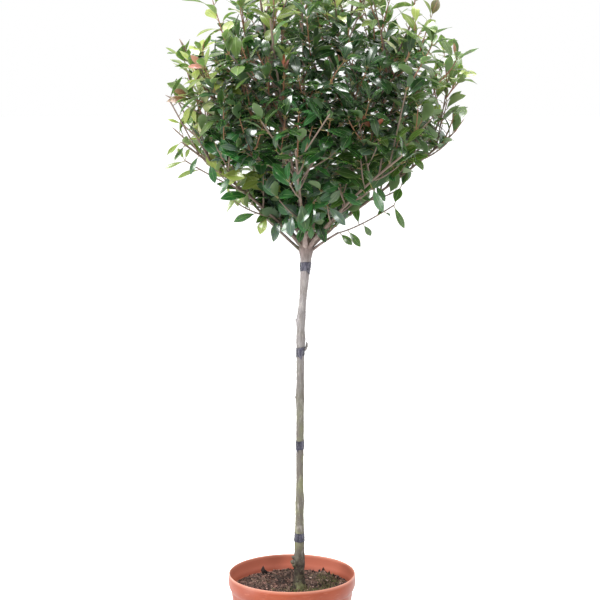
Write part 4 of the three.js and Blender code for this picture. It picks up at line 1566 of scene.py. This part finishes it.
def scatter_crumbs(chance):
    """Crumbs of peat in dark and lighter patches, and the bits that stick up."""
    earths = [
        plain("crumb_dark", colour(40, 30, 27), 0.95),
        plain("crumb_brown", colour(104, 78, 68), 0.95),
        plain("crumb_pale", colour(178, 142, 126), 0.9),
    ]
    crumbs = Shape()
    for _ in range(CRUMBS.count):
        x, y = dropped(chance, 0.985, 0.012)
        size = chance.uniform(*CRUMBS.size)
        centre = (x, y, ground_at(x, y) + 0.25 * size)
        patch = fractal(x / 26, y / 26, 2.0) + chance.uniform(-0.25, 0.25) + 0.1 * x / COMPOST_RADIUS
        kind = pick_kind(chance, CRUMBS.dark if patch > 0 else CRUMBS.light)
        add_clod(crumbs, centre, (size, size * 0.8, size * 0.7), kind, chance)
    for across, back, tall in SPIKES:
        foot = (across, back, ground_at(across, back) + 0.3 * tall)
        add_clod(crumbs, foot, (0.5 * tall, 0.4 * tall, tall), 0, chance)
    crumbs.piece("compost_crumbs", earths, "compost", ["compost"], sharp=20)


def scatter_chips(chance):
    """Chips of bark, fewer at the right."""
    barks = [
        plain("chip_red", colour(144, 104, 92), 0.8),
        plain("chip_brown", colour(88, 66, 56), 0.85),
        plain("chip_pink", colour(212, 176, 162), 0.75),
    ]
    chips = Shape()
    for _ in range(CHIPS.count):
        x, y = dropped(chance, 0.96, 0.03)
        if x > 0 and chance.uniform() < CHIPS.lost_at_right:
            continue
        long = chance.uniform(*CHIPS.length)
        centre = (x, y, ground_at(x, y) + 1.6)
        add_clod(chips, centre, (long, long * 0.36, CHIPS.flat), pick_kind(chance, CHIPS.kinds), chance)
    chips.piece("bark_chips", barks, "compost", ["compost"], sharp=20)


def scatter_moss(chance):
    """Patches of moss: small three-sided spikes, none of them in the stem."""
    greens = [
        plain("moss_dark", colour(70, 74, 42), 0.85),
        plain("moss_light", colour(112, 114, 66), 0.8),
    ]
    shares = [patch[-1] for patch in MOSS_PATCHES]
    moss = Shape()
    for _ in range(MOSS.count):
        middle_x, middle_y, spread, _share = MOSS_PATCHES[pick_kind(chance, shares)]
        x, y = chance.normal(middle_x, spread), chance.normal(middle_y, spread)
        is_in_stem = math.hypot(x - STEM.foot_x, y) < STEM_OUTLINE[0][1]
        if math.hypot(x, y) > 0.94 * COMPOST_RADIUS or is_in_stem:
            continue
        foot = np.array([x, y, ground_at(x, y) - 0.4])
        tall, wide = chance.uniform(*MOSS.height), chance.uniform(*MOSS.width)
        lean = np.array([chance.normal(0, MOSS.lean), chance.normal(0, MOSS.lean), 1.0])
        turn = chance.uniform(0, 2 * math.pi)
        side = wide * np.array([math.cos(turn), math.sin(turn), 0])
        back = 0.5 * wide * np.array([-math.sin(turn), math.cos(turn), 0])
        points = [foot - side, foot + side, foot + back, foot + unit(lean) * tall]
        moss.add(points, [(0, 1, 3), (1, 2, 3), (2, 0, 3), (0, 2, 1)], pick_kind(chance, MOSS.kinds))
    moss.piece("moss", greens, "compost", ["compost"])


# ---------------------------------------------------------------- floor, light and camera

FLOOR_HALF = 30.0  # in metres
FLOOR_GIVES = 0.8
FRONT_LIGHT, BACK_LIGHT = 0.55, 1.5


def seen_or_giving(tree, shown, giving, output):
    """Leads one shader to the camera's own rays and another to all the others."""
    rays = tree.nodes.new("ShaderNodeLightPath")
    either = tree.nodes.new("ShaderNodeMixShader")
    tree.links.new(rays.outputs["Is Camera Ray"], either.inputs["Fac"])
    tree.links.new(giving, either.inputs[1])
    tree.links.new(shown, either.inputs[2])
    tree.links.new(either.outputs["Shader"], output)


def floor_material():
    """A white floor. It gives less light than it shows, as a floor far below lamps does."""
    made = plain("floor_white", (0.9, 0.9, 0.9, 1), 0.9, Emission_Color=(1, 1, 1, 1), Emission_Strength=0.5)
    nodes = made.node_tree.nodes
    giving = nodes.new("ShaderNodeBsdfDiffuse")
    giving.inputs["Color"].default_value = (FLOOR_GIVES, FLOOR_GIVES, FLOOR_GIVES, 1)
    shown = nodes["Principled BSDF"].outputs["BSDF"]
    seen_or_giving(made.node_tree, shown, giving.outputs["BSDF"], nodes["Material Output"].inputs["Surface"])
    return made


def build_floor():
    half = FLOOR_HALF
    corners = [(-half, -half, 0), (half, -half, 0), (half, half, 0), (-half, half, 0)]
    mesh = bpy.data.meshes.new("floor")
    mesh.from_pydata(corners, [], [(0, 1, 2, 3)])
    mesh.materials.append(floor_material())
    floor = placed("floor", mesh)
    floor.location.z = -0.0005


def build_world():
    """A white studio: the walls behind and above give more light than the side of the camera."""
    world = bpy.data.worlds.new("studio")
    world.use_nodes = True
    nodes, links = world.node_tree.nodes, world.node_tree.links
    shown = nodes["Background"]
    shown.inputs["Color"].default_value = (1, 1, 1, 1)
    place = nodes.new("ShaderNodeTexCoord")
    parts = nodes.new("ShaderNodeSeparateXYZ")
    links.new(place.outputs["Generated"], parts.inputs["Vector"])
    fade = nodes.new("ShaderNodeMapRange")
    ends = {"From Min": -1, "From Max": 1, "To Min": FRONT_LIGHT, "To Max": BACK_LIGHT}
    for name, value in ends.items():
        fade.inputs[name].default_value = value
    links.new(parts.outputs["Y"], fade.inputs["Value"])
    giving = nodes.new("ShaderNodeBackground")
    links.new(fade.outputs["Result"], giving.inputs["Strength"])
    output = nodes["World Output"].inputs["Surface"]
    seen_or_giving(world.node_tree, shown.outputs["Background"], giving.outputs["Background"], output)
    bpy.context.scene.world = world


def area_light(name, place, target, size, power, spread=180):
    """A square lamp, in metres and watts, that looks at its target."""
    data = bpy.data.lights.new(name, "AREA")
    data.size, data.energy, data.spread = size, power, math.radians(spread)
    light = placed(name, data)
    light.location = place
    light.rotation_euler = (Vector(target) - Vector(place)).to_track_quat("-Z", "Y").to_euler()


def build_stage():
    build_floor()
    build_world()
    bpy.context.scene.view_settings.view_transform = "Standard"
    heart = HEART * METRES
    area_light("key", (-2.7, -1.5, 3.0), heart, 1.2, 122)
    area_light("side", (-2.2, -0.5, 0.15), (0, 0, 0.14), 0.8, 1.4, 40)
    area_light("low", (0.7, -1.6, 2.0), (0, 0.1, 0.2), 0.5, 1.6, 44)
    area_light("top", (0.1, 0.1, 4.2), heart, 1.6, 155)


def build_camera():
    data = bpy.data.cameras.new("camera")
    data.sensor_width = 36.0
    data.lens = LENS
    camera = placed("camera", data)
    camera.location = Vector(CAMERA) * METRES
    camera.rotation_euler = (math.radians(90 - CAMERA_TILT), 0, 0)
    bpy.context.scene.camera = camera


build_pot()
build_compost()
build_stem()
build_ties()
build_boughs()
build_crown()
build_stage()
build_camera()
